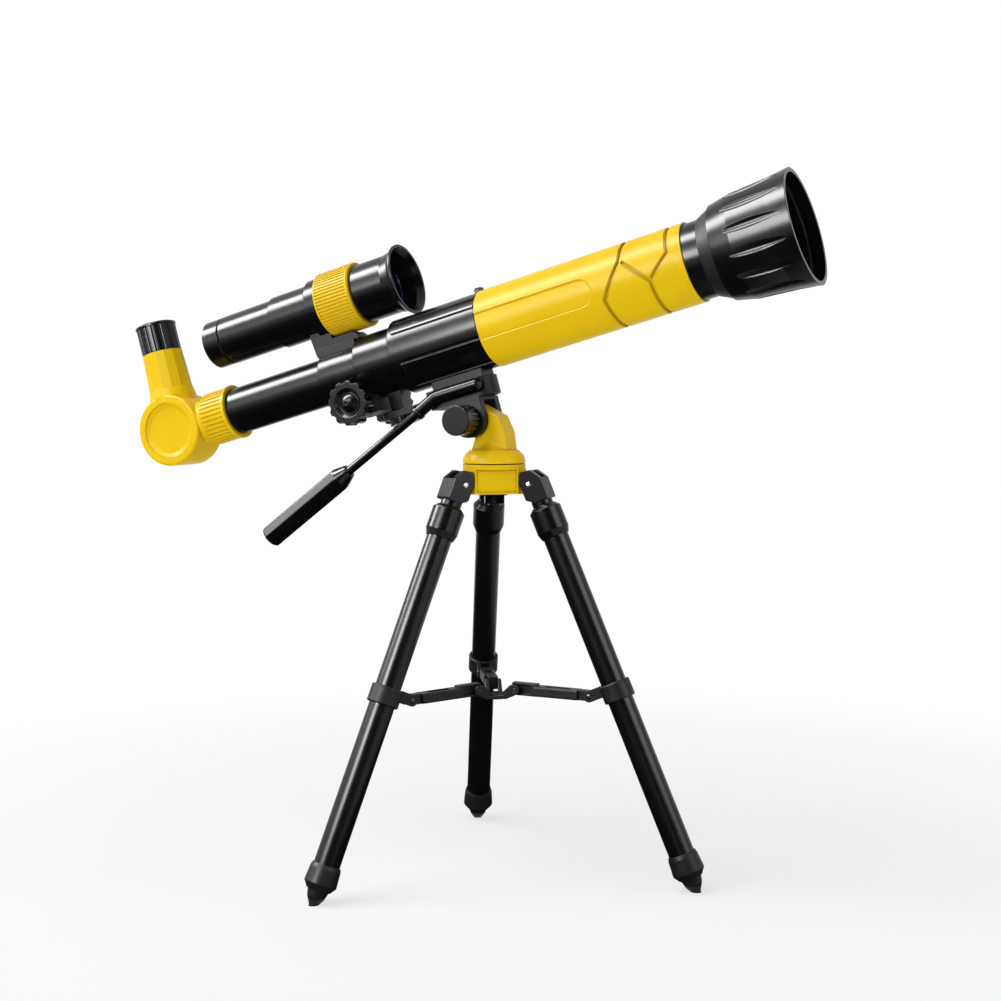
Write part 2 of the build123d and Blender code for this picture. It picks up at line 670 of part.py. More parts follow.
def spreader_hub():
    """Disc under the arms' tongues with a pair of cheeks for each arm's pin."""
    floor = HUB_PIN_HEIGHT + HUB_FLOOR
    disc = rod_z(HUB_DISC_R, floor - HUB_DISC_THICK, floor)
    inner = TONGUE_WIDTH / 2 + SIDE_GAP
    start = HUB_DISC_R / 2
    pieces = [disc]
    for azimuth in LEG_AZIMUTHS.values():
        for side in (-1, 1):
            y_low, y_high = sorted((side * inner, side * (inner + HUB_CHEEK_WALL)))
            cheek = slab(
                [
                    (start, floor - HUB_DISC_THICK),
                    (HUB_DISC_R, floor - HUB_DISC_THICK),
                    (HUB_PIN_RADIUS + HUB_CHEEK_R, HUB_PIN_HEIGHT - HUB_CHEEK_R / 2),
                    (HUB_PIN_RADIUS + HUB_CHEEK_R, HUB_PIN_HEIGHT + HUB_CHEEK_R / 2),
                    (HUB_PIN_RADIUS + HUB_CHEEK_R / 2, HUB_PIN_HEIGHT + HUB_CHEEK_R),
                    (HUB_PIN_RADIUS - HUB_CHEEK_R, HUB_PIN_HEIGHT + HUB_CHEEK_R),
                    (start, floor),
                ],
                y_low,
                y_high,
            )
            pieces.append(Rot(0, 0, azimuth) * cheek)
    hub = joined(pieces)
    reach = inner + HUB_CHEEK_WALL + SKIN
    for azimuth in LEG_AZIMUTHS.values():
        lane = block((0, HUB_PIN_RADIUS * 2), (-inner, inner), (floor, floor + 10 * HUB_CHEEK_R))
        hole = rod_y(HUB_PIN_R + SEAT, -reach, reach, HUB_PIN_RADIUS, HUB_PIN_HEIGHT)
        hub = hub - Rot(0, 0, azimuth) * lane - Rot(0, 0, azimuth) * hole
    return hub


def spreader_hub_pins():
    """A short pin in each cheek, which runs in the slot on its side of the tongue."""
    tip = TONGUE_WEB / 2 + SIDE_GAP
    root = TONGUE_WIDTH / 2 + SIDE_GAP + HUB_CHEEK_WALL
    pins = [
        rod_y(HUB_PIN_R, *sorted((side * tip, side * root)), HUB_PIN_RADIUS, HUB_PIN_HEIGHT) for side in (-1, 1)
    ]
    return Compound(children=[Rot(0, 0, azimuth) * pin for azimuth in LEG_AZIMUTHS.values() for pin in pins])


# Hub and pan head

def tripod_hub():
    """Round hub with three flat panels between three ears for the legs."""
    core = rod_z(HUB_R, HUB_BOTTOM, HUB_TOP)
    half = (HUB_R ** 2 - HUB_PANEL ** 2) ** 0.5
    flat = block((HUB_PANEL, 2 * HUB_R), (-2 * HUB_R, 2 * HUB_R), (HUB_BOTTOM - SKIN, HUB_TOP - HUB_FLANGE))
    frame = block(
        (HUB_PANEL - SKIN, HUB_PANEL + PANEL_RIB_OUT), (-half, half), (HUB_BOTTOM, HUB_TOP - HUB_FLANGE)
    ) - block(
        (HUB_PANEL, 2 * HUB_R),
        (PANEL_RIB - half, half - PANEL_RIB),
        (HUB_BOTTOM + PANEL_RIB, HUB_TOP - HUB_FLANGE + SKIN),
    )
    ear = slab(
        [
            (HUB_PANEL / 2, HUB_BOTTOM),
            (PIVOT_RADIUS, HUB_BOTTOM),
            (PIVOT_RADIUS, PIVOT_HEIGHT + EAR_R),
            (HUB_PANEL / 2, PIVOT_HEIGHT + EAR_R),
        ],
        -EAR_WIDTH / 2,
        EAR_WIDTH / 2,
    ) + rod_y(EAR_R, -EAR_WIDTH / 2, EAR_WIDTH / 2, PIVOT_RADIUS, PIVOT_HEIGHT)
    under = block(
        (PIVOT_RADIUS - EAR_R, PIVOT_RADIUS + EAR_R),
        (-EAR_WIDTH, EAR_WIDTH),
        (HUB_BOTTOM - SKIN, PIVOT_HEIGHT - EAR_R),
    )
    hole = rod_y(PIVOT_PIN_R + SEAT, -EAR_WIDTH, EAR_WIDTH, PIVOT_RADIUS, PIVOT_HEIGHT)
    hub = core
    for azimuth in LEG_AZIMUTHS.values():
        hub = hub - Rot(0, 0, azimuth + 60.0) * flat
    for azimuth in LEG_AZIMUTHS.values():
        hub = hub + Rot(0, 0, azimuth + 60.0) * frame + Rot(0, 0, azimuth) * (ear - under)
    for azimuth in LEG_AZIMUTHS.values():
        hub = hub - Rot(0, 0, azimuth) * hole
    return hub - rod_z(PAN_BOLT_R + RUN, HUB_BOTTOM - SKIN, HUB_TOP + SKIN)


def leg_pivot_pins():
    pin = rod_y(PIVOT_PIN_R, -CHEEK_OUTER, CHEEK_OUTER, PIVOT_RADIUS, PIVOT_HEIGHT)
    return Compound(children=[Rot(0, 0, azimuth) * pin for azimuth in LEG_AZIMUTHS.values()])


def on_circle(edge, radius, height):
    """Whether an edge is the circle of a radius at a height about the pan axis."""
    box = edge.bounding_box()
    return abs(box.max.X - radius) < RUN and abs(box.min.Z - height) < RUN and abs(box.max.Z - height) < RUN


def pan_head():
    """Domed base, flared up into an upright knuckle that leans back to the tilt axis."""
    half = TILT_KNUCKLE_WIDTH / 2
    dome_top = PAN_BASE + PAN_DOME_RISE
    flare = PAN_DOME_R - PAN_FLARE_EDGE - half
    base = turned_z([
        (0, PAN_BASE),
        (HUB_R, PAN_BASE),
        (HUB_R, PAN_BASE + PAN_RIM),
        (PAN_DOME_R, dome_top),
        (half, dome_top),
        (half, dome_top + flare + SKIN),
        (0, dome_top + flare + SKIN),
    ])
    rim = [edge for edge in base.edges() if abs(edge.center().Z - PAN_BASE - PAN_RIM) < RUN]
    base = fillet(rim, PAN_ROUND)
    waist = [edge for edge in base.edges() if on_circle(edge, half, dome_top)]
    base = fillet(waist, flare)
    boss = rod_z(PAN_BOSS_R, HUB_TOP + PAN_BOSS_GAP, PAN_BASE + SKIN)
    lean = radians(LUG_LEAN)
    ridge = (TILT_X + TILT_KNUCKLE_R * sin(lean), TILT_Z + TILT_KNUCKLE_R * cos(lean))
    shoulder = (ridge[0] + LUG_RIDGE * cos(lean), ridge[1] - LUG_RIDGE * sin(lean))
    foot = PAN_BASE + PAN_RIM / 2
    lug = slab(
        [
            (LUG_REAR, foot),
            (TILT_X + LUG_WAIST, TILT_Z - TILT_KNUCKLE_R - LUG_WAIST),
            (TILT_X, TILT_Z),
            ridge,
            shoulder,
            (shoulder[0] + LUG_SLOPE_OUT, shoulder[1] - LUG_SLOPE_DOWN),
            (LUG_FRONT, foot),
        ],
        -half,
        half,
    )
    lug = fillet([edge for edge in lug.edges().filter_by(Axis.Y) if edge.center().X > 0], LUG_ROUND)
    knuckle = rod_y(TILT_KNUCKLE_R, -half, half, TILT_X, TILT_Z)
    head = base + boss + lug + knuckle
    bolt_hole = rod_y(TILT_BOLT_R + RUN, -half - SKIN, half + SKIN, TILT_X, TILT_Z)
    thread = rod_z(PAN_BOLT_R + SEAT, HUB_TOP - SKIN, PAN_BASE + PAN_BOLT_DEPTH + SEAT)
    return head - bolt_hole - thread


def pan_bolt():
    end = HUB_BOTTOM - NUT_THICK - 2 * PAN_GAP
    return rod_z(PAN_BOLT_R, end, PAN_BASE + PAN_BOLT_DEPTH)


def pan_nut():
    """Flanged hexagon nut that keeps the pan head on the hub."""
    top = HUB_BOTTOM - PAN_BOSS_GAP
    nut = Pos(0, 0, top - NUT_THICK) * hexagon(NUT_R, NUT_THICK)
    nut = nut + rod_z(NUT_FLANGE_R, top - NUT_FLANGE, top)
    return nut - rod_z(PAN_BOLT_R + SEAT, top - NUT_THICK - SKIN, top + SKIN)


# Tilt head and platform, in the telescope's frame

def tilt_clevis():
    half = CLEVIS_OUTER
    body = rod_y(CLEVIS_R, -half, half, TILT_STATION, TILT_H)
    body = body + block(
        (TILT_STATION - CLEVIS_BACK, TILT_STATION + CLEVIS_R), (-half, half), (TILT_H, PLATE_BOTTOM - SEAT)
    )
    room = block(
        (TILT_STATION - 2 * CLEVIS_R, TILT_STATION + 2 * CLEVIS_R),
        (-CLEVIS_INNER, CLEVIS_INNER),
        (TILT_H - 2 * CLEVIS_R, PLATE_BOTTOM - CLEVIS_BRIDGE),
    )
    hole = rod_y(TILT_BOLT_R + RUN, -half - SKIN, half + SKIN, TILT_STATION, TILT_H)
    return body - room - hole


def tilt_bolt():
    start = -CLEVIS_OUTER - TILT_KNOB_GAP - TILT_KNOB_LENGTH / 2
    end = CLEVIS_OUTER + TILT_NUT_THICK + TILT_BOLT_TAIL
    return rod_y(TILT_BOLT_R, start, end, TILT_STATION, TILT_H)


def tilt_knob():
    inner = -CLEVIS_OUTER - TILT_KNOB_GAP
    outer = inner - TILT_KNOB_LENGTH
    body = rod_y(TILT_KNOB_R, outer, inner)
    body = chamfer(body.edges().filter_by(GeomType.CIRCLE), TILT_KNOB_FLUTE_R / 2)
    flute = rod_y(TILT_KNOB_FLUTE_R, outer + TILT_KNOB_LENGTH / 4, inner + SKIN, TILT_KNOB_R + TILT_KNOB_FLUTE_R / 4)
    knob = body - around_y(flute, TILT_KNOB_FLUTES)
    hole = rod_y(TILT_BOLT_R + SEAT, inner - TILT_KNOB_LENGTH / 2 - SEAT, inner + SKIN)
    return Pos(TILT_STATION, 0, TILT_H) * (knob - hole)


def tilt_nut():
    start = CLEVIS_OUTER + SEAT
    nut = Pos(TILT_STATION, start, TILT_H) * Rot(-90, 0, 0) * hexagon(TILT_NUT_R, TILT_NUT_THICK)
    return nut - rod_y(TILT_BOLT_R + RUN, 0, start + 2 * TILT_NUT_THICK, TILT_STATION, TILT_H)


def handle_path():
    return [(x, HANDLE_Y, z) for x, z in (HANDLE_ROOT, HANDLE_BEND, HANDLE_STEP)]


def handle_socket():
    """Bent root of the handle, lying in the platform's side."""
    path = FilletPolyline(*handle_path(), radius=HANDLE_BEND_R)
    start = Plane(origin=path @ 0, z_dir=path % 0)
    body = sweep(start * Circle(HANDLE_SOCKET_R), path=path)
    body = body + Pos(*handle_path()[0]) * Sphere(HANDLE_SOCKET_R)
    return body - handle_rod(SEAT)


def handle_frame():
    """Frame at the socket's lower end, with z along the straight rod."""
    (x0, z0), (x1, z1) = HANDLE_STEP, HANDLE_GRIP_END
    along = Vector(x1 - x0, 0, z1 - z0)
    return Plane(origin=(x0, HANDLE_Y, z0), x_dir=(0, 1, 0), z_dir=along), along.length


def grip_length():
    return hypot(HANDLE_GRIP_END[0] - HANDLE_GRIP_START[0], HANDLE_GRIP_END[1] - HANDLE_GRIP_START[1])


def handle_rod(extra=0.0):
    frame, length = handle_frame()
    end = length - grip_length() + ROD_INSERT
    return frame * rod_z(HANDLE_ROD_R + extra, -ROD_INSERT - extra, end + extra)


def handle_grip():
    """Faceted grip, drawn in at the end that holds the rod."""
    frame, length = handle_frame()
    start = length - grip_length()
    neck = HANDLE_ROD_R + (HANDLE_GRIP_R - HANDLE_ROD_R) / 3
    body = turned_z([
        (0, start),
        (neck, start),
        (HANDLE_GRIP_R, start + HANDLE_GRIP_NECK),
        (HANDLE_GRIP_R, length - HANDLE_GRIP_EDGE),
        (HANDLE_GRIP_R - HANDLE_GRIP_EDGE, length),
        (0, length),
    ])
    facets = Pos(0, 0, start) * extrude(RegularPolygon(HANDLE_GRIP_R, HANDLE_GRIP_SIDES), amount=grip_length())
    return frame * (body & facets) - handle_rod(SEAT)


def platform_plate():
    """Plate under the tube with a thin rear tongue and a bed for the handle in its near side."""
    thick = block((PLATE_BREAK, PLATE_FRONT), (-PLATE_HALF, PLATE_HALF), (PLATE_BOTTOM, PLATE_TOP))
    front = [edge for edge in thick.edges().filter_by(Axis.Z) if edge.center().X > PLATE_FRONT - SKIN]
    thick = fillet(front, PLATE_CORNER)
    tongue = block((PLATE_REAR, PLATE_BREAK + SKIN), (-TONGUE_HALF, TONGUE_HALF), (TONGUE_BOTTOM, TONGUE_TOP))
    rear = [edge for edge in tongue.edges().filter_by(Axis.Z) if edge.center().X < PLATE_BREAK]
    tongue = fillet(rear, TONGUE_HALF / 2)
    reach = HANDLE_SOCKET_R + SEAT
    bed = strip(HANDLE_ROOT, HANDLE_BEND, 2 * reach, HANDLE_Y - reach, HANDLE_Y + reach)
    bed = bed + strip(HANDLE_BEND, HANDLE_STEP, 2 * reach, HANDLE_Y - reach, HANDLE_Y + reach)
    hole = rod_z(SCREW_R + RUN, TONGUE_BOTTOM - SKIN, TONGUE_TOP + SKIN, SCREW_STATION)
    return thick + tongue - bed - hole


def saddle_pad():
    pad = block((PAD_REAR, PAD_FRONT), (-PAD_HALF, PAD_HALF), (PLATE_TOP + SEAT, 0))
    return pad - rod_x(BODY_R + SEAT, PAD_REAR - SKIN, PAD_FRONT + SKIN)


def mount_screw():
    top = TONGUE_BOTTOM - TILT_KNOB_GAP
    head = rod_z(SCREW_HEAD_R, top - SCREW_HEAD_THICK, top)
    flute = rod_z(SCREW_FLUTE_R, top - 2 * SCREW_HEAD_THICK, top + SKIN, SCREW_HEAD_R + SCREW_FLUTE_R / 4)
    head = head - around_z(flute, SCREW_FLUTES)
    shank = rod_z(SCREW_R, top - SKIN, TONGUE_TOP + SCREW_DEPTH)
    return Pos(SCREW_STATION, 0, 0) * (head + shank)


# Main tube

def shell_cut(tool, depth, radius, start, end):
    """The part of a cutting tool that lies within a depth of a tube's surface."""
    band = rod_x(radius + SKIN, start, end) - rod_x(radius - depth, start - SKIN, end + SKIN)
    return band & tool


def sunk_edges(tube, radius, start, end):
    """Edges on a tube's surface between two stations, which are those of the shapes sunk into it."""
    found = []
    for edge in tube.edges():
        points = [edge @ share for share in (0.1, 0.5, 0.9)]
        outside = all(abs(hypot(point.Y, point.Z) - radius) < RUN for point in points)
        if outside and start < edge.center().X < end:
            found.append(edge)
    return found


def body_rails():
    """Long rails on the body's upper sides and a nub on top of its front end."""
    rail = block(
        (BODY_REAR + RAIL_INSET, BODY_FRONT), (-RAIL_WIDTH / 2, RAIL_WIDTH / 2), (BODY_R - SKIN, BODY_R + RAIL_RISE)
    )
    turns = [side * (90.0 - angle) for angle in RAIL_ANGLES for side in (-1, 1)]
    nub = block((BODY_FRONT - NUB_LENGTH, BODY_FRONT), (-NUB_HALF, NUB_HALF), (BODY_R - SKIN, BODY_R + NUB_RISE))
    nub = chamfer(nub.edges().filter_by(Axis.X).group_by(Axis.Z)[-1], NUB_RISE / 2)
    return [Rot(turn, 0, 0) * rail for turn in turns] + [nub]


def main_body():
    body = turned([
        (NOSE_REAR, GUIDE_R),
        (NOSE_REAR, NOSE_R - EDGE),
        (NOSE_REAR + EDGE, NOSE_R),
        (STEP_REAR, NOSE_R),
        (STEP_REAR, STEP_R - EDGE),
        (STEP_REAR + EDGE, STEP_R),
        (BODY_REAR, STEP_R),
        (BODY_REAR, BODY_R - EDGE),
        (BODY_REAR + EDGE, BODY_R),
        (BODY_FRONT, BODY_R),
        (BODY_FRONT, SPIGOT_R),
        (SPIGOT_END, SPIGOT_R),
        (SPIGOT_END, CAVITY_R),
        (CAVITY_REAR, CAVITY_R),
        (CAVITY_REAR, GUIDE_R),
    ])
    foot = block(
        (SCREW_STATION - BODY_FOOT_LENGTH / 2, SCREW_STATION + BODY_FOOT_LENGTH / 2),
        (-BODY_FOOT_HALF, BODY_FOOT_HALF),
        (TONGUE_TOP + SEAT, -STEP_R + SKIN),
    )
    rack_half = RACK_WIDTH / 2 + RACK_SLOT_GAP
    rack_floor = RACK_PITCH_LINE - TOOTH_ADDENDUM - RACK_SLOT_GAP
    slot = block((NOSE_REAR - SKIN, CAVITY_REAR + SKIN), (-rack_half, rack_half), (rack_floor, 0))
    slot = slot - rod_x(GUIDE_R - SKIN, NOSE_REAR - 2 * SKIN, CAVITY_REAR + 2 * SKIN)
    reach = PINION_R + TOOTH_ADDENDUM + PINION_GAP
    window = block(
        (FOCUS_STATION - reach, FOCUS_STATION + reach),
        (-rack_half, rack_half),
        (COVER_BOTTOM, -GUIDE_R + SKIN),
    )
    shaft = rod_y(FOCUS_SHAFT_R + SIDE_GAP, -STEP_R, STEP_R, FOCUS_STATION, FOCUS_H)
    panel = slab(
        [
            (PANEL_REAR, PANEL_TOP),
            (BODY_FRONT + SKIN, PANEL_TOP),
            (BODY_FRONT + SKIN, -2 * BODY_R),
            (PANEL_REAR, -2 * BODY_R),
        ],
        -2 * BODY_R,
        2 * BODY_R,
    )
    panel = shell_cut(panel, PANEL_DEPTH, BODY_R, PANEL_REAR, BODY_FRONT)
    panel = panel - block((PANEL_REAR - SKIN, SKIN), (-PAD_HALF - SKIN, PAD_HALF + SKIN), (-2 * BODY_R, 0))
    line_height = PANEL_TOP + LINE_RAISE
    ends = [(PANEL_REAR, line_height), (BODY_FRONT, line_height)]
    line = joined(sunk_line(ends, LINE_WIDTH, LINE_DEPTH, BODY_R, BODY_REAR, BODY_FRONT + SEAT))
    hole = rod_z(SCREW_R + RUN, TONGUE_TOP - SKIN, TONGUE_TOP + SCREW_DEPTH + SIDE_GAP, SCREW_STATION)
    return body + foot + body_rails() - slot - window - shaft - panel - line - hole


def sunk_line(points, width, depth, radius, start, end):
    """Cut of a groove along a line of (x, z) points on both sides of a tube, with a shallow lip."""
    cuts = []
    for wide, deep in ((width, depth), (width + 2 * GROOVE_LIP, LIP_DEPTH)):
        pieces = [strip(a, b, wide, -2 * radius, 2 * radius) for a, b in zip(points, points[1:])]
        cuts.append(shell_cut(joined(pieces), deep, radius, start, end))
    return cuts


def objective_tube():
    tube = turned([
        (TUBE_REAR, TUBE_R - TUBE_WALL),
        (TUBE_REAR, TUBE_R - EDGE / 2),
        (TUBE_REAR + EDGE / 2, TUBE_R),
        (TUBE_FRONT, TUBE_R),
        (TUBE_FRONT, TUBE_R - TUBE_WALL),
    ])
    label = strip(
        (TUBE_REAR - LABEL_HALF, 0), (LABEL_END - LABEL_HALF, 0), 2 * LABEL_HALF, -2 * TUBE_R, 0
    )
    tube = tube - shell_cut(label, LABEL_DEPTH, TUBE_R, TUBE_REAR - SKIN, TUBE_FRONT)
    tube = chamfer(sunk_edges(tube, TUBE_R, TUBE_REAR + EDGE, TUBE_FRONT - EDGE), LABEL_EDGE)
    for line in (GROOVE_FRONT_V, GROOVE_LEG, GROOVE_REAR_V):
        for cut in sunk_line(line, GROOVE_WIDTH, GROOVE_DEPTH, TUBE_R, TUBE_REAR, TUBE_FRONT):
            tube = tube - cut
    return tube


def front_ring():
    return turned([
        (TUBE_FRONT - FRONT_SPIGOT, LENS_R - LENS_LIP),
        (TUBE_FRONT - FRONT_SPIGOT, SPIGOT_R),
        (TUBE_FRONT + SEAT, SPIGOT_R),
        (TUBE_FRONT + SEAT, FRONT_RING_R),
        (FRONT_RING_END, FRONT_RING_R),
        (FRONT_RING_END, LENS_R + SEAT),
        (LENS_REAR, LENS_R + SEAT),
        (LENS_REAR, LENS_R - LENS_LIP),
    ])


def crown_ball(radius, rise):
    """Radius of the ball whose cap has a given rim radius and rise."""
    return (radius ** 2 + rise ** 2) / (2 * rise)


def lens(radius, rear, thick, bulge):
    """Round lens along X, flat behind and crowned in front, with a cylindrical edge."""
    edge = rear + thick
    ball = crown_ball(radius, bulge)
    crown = Pos(edge + bulge - ball, 0, 0) * Sphere(ball)
    return rod_x(radius, rear, edge) + (crown & rod_x(radius, edge - SKIN / 2, edge + 2 * bulge))


def objective_lens():
    return lens(LENS_R, LENS_REAR + SEAT, LENS_THICK, LENS_BULGE)


def lens_retainer():
    ball = crown_ball(LENS_R, LENS_BULGE)
    crown = LENS_BULGE - ball + (ball ** 2 - (LENS_R - LENS_LIP) ** 2) ** 0.5
    rear = LENS_REAR + LENS_THICK + crown + 2 * SEAT
    return turned([
        (rear, LENS_R - LENS_LIP),
        (rear, LENS_R),
        (FRONT_RING_END, LENS_R),
        (FRONT_RING_END, LENS_R - LENS_LIP / 2),
    ])


def hood_collar():
    return turned([
        (FRONT_RING_END + SEAT, LENS_R - LENS_LIP),
        (FRONT_RING_END + SEAT, FRONT_RING_R + EDGE),
        (HOOD_COLLAR_END, COLLAR_CONE_R),
        (HOOD_COLLAR_END, HOOD_BORE - HOOD_WALL),
    ])


def hood():
    """Flared hood with long oval flutes, hollow and open at the front."""
    start = HOOD_COLLAR_END + SEAT
    shell = turned([
        (start, HOOD_BORE),
        (start, HOOD_R),
        (HOOD_MID, HOOD_MID_R),
        (HOOD_FLARE, HOOD_FLARE_R),
        (HOOD_RIM, HOOD_RIM_R),
        (HOOD_RIM, HOOD_LIP_R),
        (HOOD_RIM - HOOD_LIP_LENGTH, HOOD_LIP_R),
        (HOOD_RIM - HOOD_LIP_LENGTH, HOOD_MID_R - HOOD_WALL),
        (start + HOOD_WALL, HOOD_BORE),
    ])
    length = FLUTE_FRONT - FLUTE_REAR
    outline = make_face(
        [
            ThreePointArc((-length / 2, 0, 0), (0, 0, FLUTE_R), (length / 2, 0, 0)),
            Line((length / 2, 0, 0), (-length / 2, 0, 0)),
        ]
    )
    spindle = revolve(outline, axis=Axis.X)
    middle = (FLUTE_REAR + FLUTE_FRONT) / 2
    slope = degrees(atan2(HOOD_FLARE_R - HOOD_MID_R, HOOD_FLARE - HOOD_MID))
    surface = HOOD_MID_R + (middle - HOOD_MID) * tan(radians(slope))
    tool = Pos(middle, 0, surface + FLUTE_R - FLUTE_DEPTH) * Rot(0, -slope, 0) * spindle
    return shell - around_x(tool, HOOD_FLUTES)


# Focuser

def drawtube():
    tube = rod_x(DRAWTUBE_R, DRAWTUBE_REAR, DRAWTUBE_FRONT)
    return tube - rod_x(DRAWTUBE_R - DRAWTUBE_WALL, DRAWTUBE_REAR - SKIN, DRAWTUBE_FRONT + SKIN)


def flank(depth):
    """Half the thickness of a rack tooth at a depth inside its pitch line."""
    return TOOTH_THICK / 2 + depth * tan(radians(TOOTH_FLANK))


def focus_rack():
    half = TOOTH_PITCH * RACK_TEETH / 2
    bar = block(
        (FOCUS_STATION - half, FOCUS_STATION + half),
        (-RACK_WIDTH / 2, RACK_WIDTH / 2),
        (RACK_ROOT, -DRAWTUBE_R + RACK_WIDTH / 4),
    )
    teeth = []
    for i in range(RACK_TEETH):
        x = FOCUS_STATION + (i - (RACK_TEETH - 1) / 2) * TOOTH_PITCH
        tip, root = flank(-TOOTH_ADDENDUM), flank(TOOTH_DEDENDUM)
        outline = [
            (x - tip, RACK_PITCH_LINE - TOOTH_ADDENDUM),
            (x + tip, RACK_PITCH_LINE - TOOTH_ADDENDUM),
            (x + root, RACK_ROOT),
            (x + root, RACK_ROOT + RACK_BASE / 4),
            (x - root, RACK_ROOT + RACK_BASE / 4),
            (x - root, RACK_ROOT),
        ]
        teeth.append(slab(outline, -RACK_WIDTH / 2, RACK_WIDTH / 2))
    tube = rod_x(DRAWTUBE_R + SEAT, FOCUS_STATION - 2 * half, FOCUS_STATION + 2 * half)
    return bar + teeth - tube


def focus_pinion():
    """Toothed pinion on its cross shaft, with a tooth space facing the rack."""
    end = KNOB_INNER + KNOB_LENGTH / 2
    half = PINION_WIDTH / 2
    tip_r, root_r = PINION_R + TOOTH_ADDENDUM, PINION_R - TOOTH_DEDENDUM
    tip, root = flank(-TOOTH_ADDENDUM), flank(TOOTH_DEDENDUM)
    tooth = slab(
        [(-root, 0), (root, 0), (root, root_r), (tip, tip_r), (-tip, tip_r), (-root, root_r)], -half, half
    )
    step = 360.0 / PINION_TEETH
    wheel = rod_y(root_r, -half, half) + [Rot(0, step * (i + 0.5), 0) * tooth for i in range(PINION_TEETH)]
    return Pos(FOCUS_STATION, 0, FOCUS_H) * (wheel + rod_y(FOCUS_SHAFT_R, -end, end))


def pinion_cover():
    """Housing under the body that carries the pinion's shaft."""
    cover = block(
        (FOCUS_STATION - COVER_HALF_LENGTH, FOCUS_STATION + COVER_HALF_LENGTH),
        (-COVER_HALF_WIDTH, COVER_HALF_WIDTH),
        (COVER_BOTTOM, -NOSE_R / 2),
    )
    cover = fillet(cover.edges().filter_by(Axis.Y).group_by(Axis.Z)[0], COVER_FLOOR)
    nose = rod_x(NOSE_R + SEAT, NOSE_REAR, STEP_REAR + SKIN)
    step = rod_x(STEP_R + SEAT, STEP_REAR - SEAT, BODY_REAR)
    reach = PINION_R + TOOTH_ADDENDUM + PINION_GAP
    rack_half = RACK_WIDTH / 2 + RACK_SLOT_GAP
    room = block(
        (FOCUS_STATION - reach, FOCUS_STATION + reach),
        (-rack_half, rack_half),
        (COVER_BOTTOM + COVER_FLOOR, 0),
    )
    rack_floor = RACK_PITCH_LINE - TOOTH_ADDENDUM - RACK_SLOT_GAP
    lane = block((NOSE_REAR - SKIN, BODY_REAR), (-rack_half, rack_half), (rack_floor, 0))
    shaft = rod_y(FOCUS_SHAFT_R + RUN, -2 * COVER_HALF_WIDTH, 2 * COVER_HALF_WIDTH, FOCUS_STATION, FOCUS_H)
    return cover - nose - step - room - lane - shaft


def focus_knob(side):
    """Lobed knob with a dished face and a domed middle, on the left or right end of the shaft."""
    profile = turned([
        (KNOB_INNER, 0),
        (KNOB_INNER, KNOB_R - EDGE),
        (KNOB_INNER + EDGE, KNOB_R),
        (KNOB_INNER + KNOB_LENGTH - EDGE, KNOB_R),
        (KNOB_INNER + KNOB_LENGTH, KNOB_R - EDGE),
        (KNOB_INNER + KNOB_LENGTH, KNOB_R - 2 * KNOB_DISH),
        (KNOB_INNER + KNOB_LENGTH - KNOB_DISH, KNOB_R - 3 * KNOB_DISH),
        (KNOB_INNER + KNOB_LENGTH - KNOB_DISH, 0),
    ])
    ball = crown_ball(KNOB_DOME_R, KNOB_DOME_RISE)
    seat = KNOB_INNER + KNOB_LENGTH - KNOB_DISH
    dome = Pos(seat + KNOB_DOME_RISE - ball, 0, 0) * Sphere(ball)
    dome = dome & rod_x(KNOB_DOME_R, seat - SKIN, seat + 2 * KNOB_DOME_RISE)
    notch = rod_x(KNOB_LOBE_R, KNOB_INNER - SKIN, KNOB_INNER + 2 * KNOB_LENGTH, 0, KNOB_LOBE_CENTRE)
    knob = profile + dome - around_x(notch, KNOB_LOBES)
    knob = knob - rod_x(FOCUS_SHAFT_R + SEAT, KNOB_INNER - SKIN, KNOB_INNER + KNOB_LENGTH / 2 + SEAT)
    return Pos(FOCUS_STATION, 0, FOCUS_H) * Rot(0, 0, 90.0 * side) * knob


# Diagonal and eyepiece

def diagonal_collar():
    """Ribbed collar that turns on the drawtube's rear end."""
    collar = turned([
        (DIAGONAL_COLLAR_REAR, LIGHT_BORE + 2 * EDGE),
        (DIAGONAL_COLLAR_REAR, DIAGONAL_COLLAR_R - EDGE),
        (DIAGONAL_COLLAR_REAR + EDGE, DIAGONAL_COLLAR_R),
        (DIAGONAL_COLLAR_FRONT - COLLAR_LIP, DIAGONAL_COLLAR_R),
        (DIAGONAL_COLLAR_FRONT - COLLAR_LIP, COLLAR_LIP_R),
        (DIAGONAL_COLLAR_FRONT, COLLAR_LIP_R),
        (DIAGONAL_COLLAR_FRONT, GUIDE_R),
        (DRAWTUBE_REAR - SIDE_GAP, GUIDE_R),
        (DRAWTUBE_REAR - SIDE_GAP, LIGHT_BORE + 2 * EDGE),
    ])
    groove = rod_x(
        COLLAR_RIB_R, DIAGONAL_COLLAR_REAR - SKIN, DIAGONAL_COLLAR_FRONT - COLLAR_LIP, 0, DIAGONAL_COLLAR_R
    )
    return collar - around_x(groove, COLLAR_RIBS)


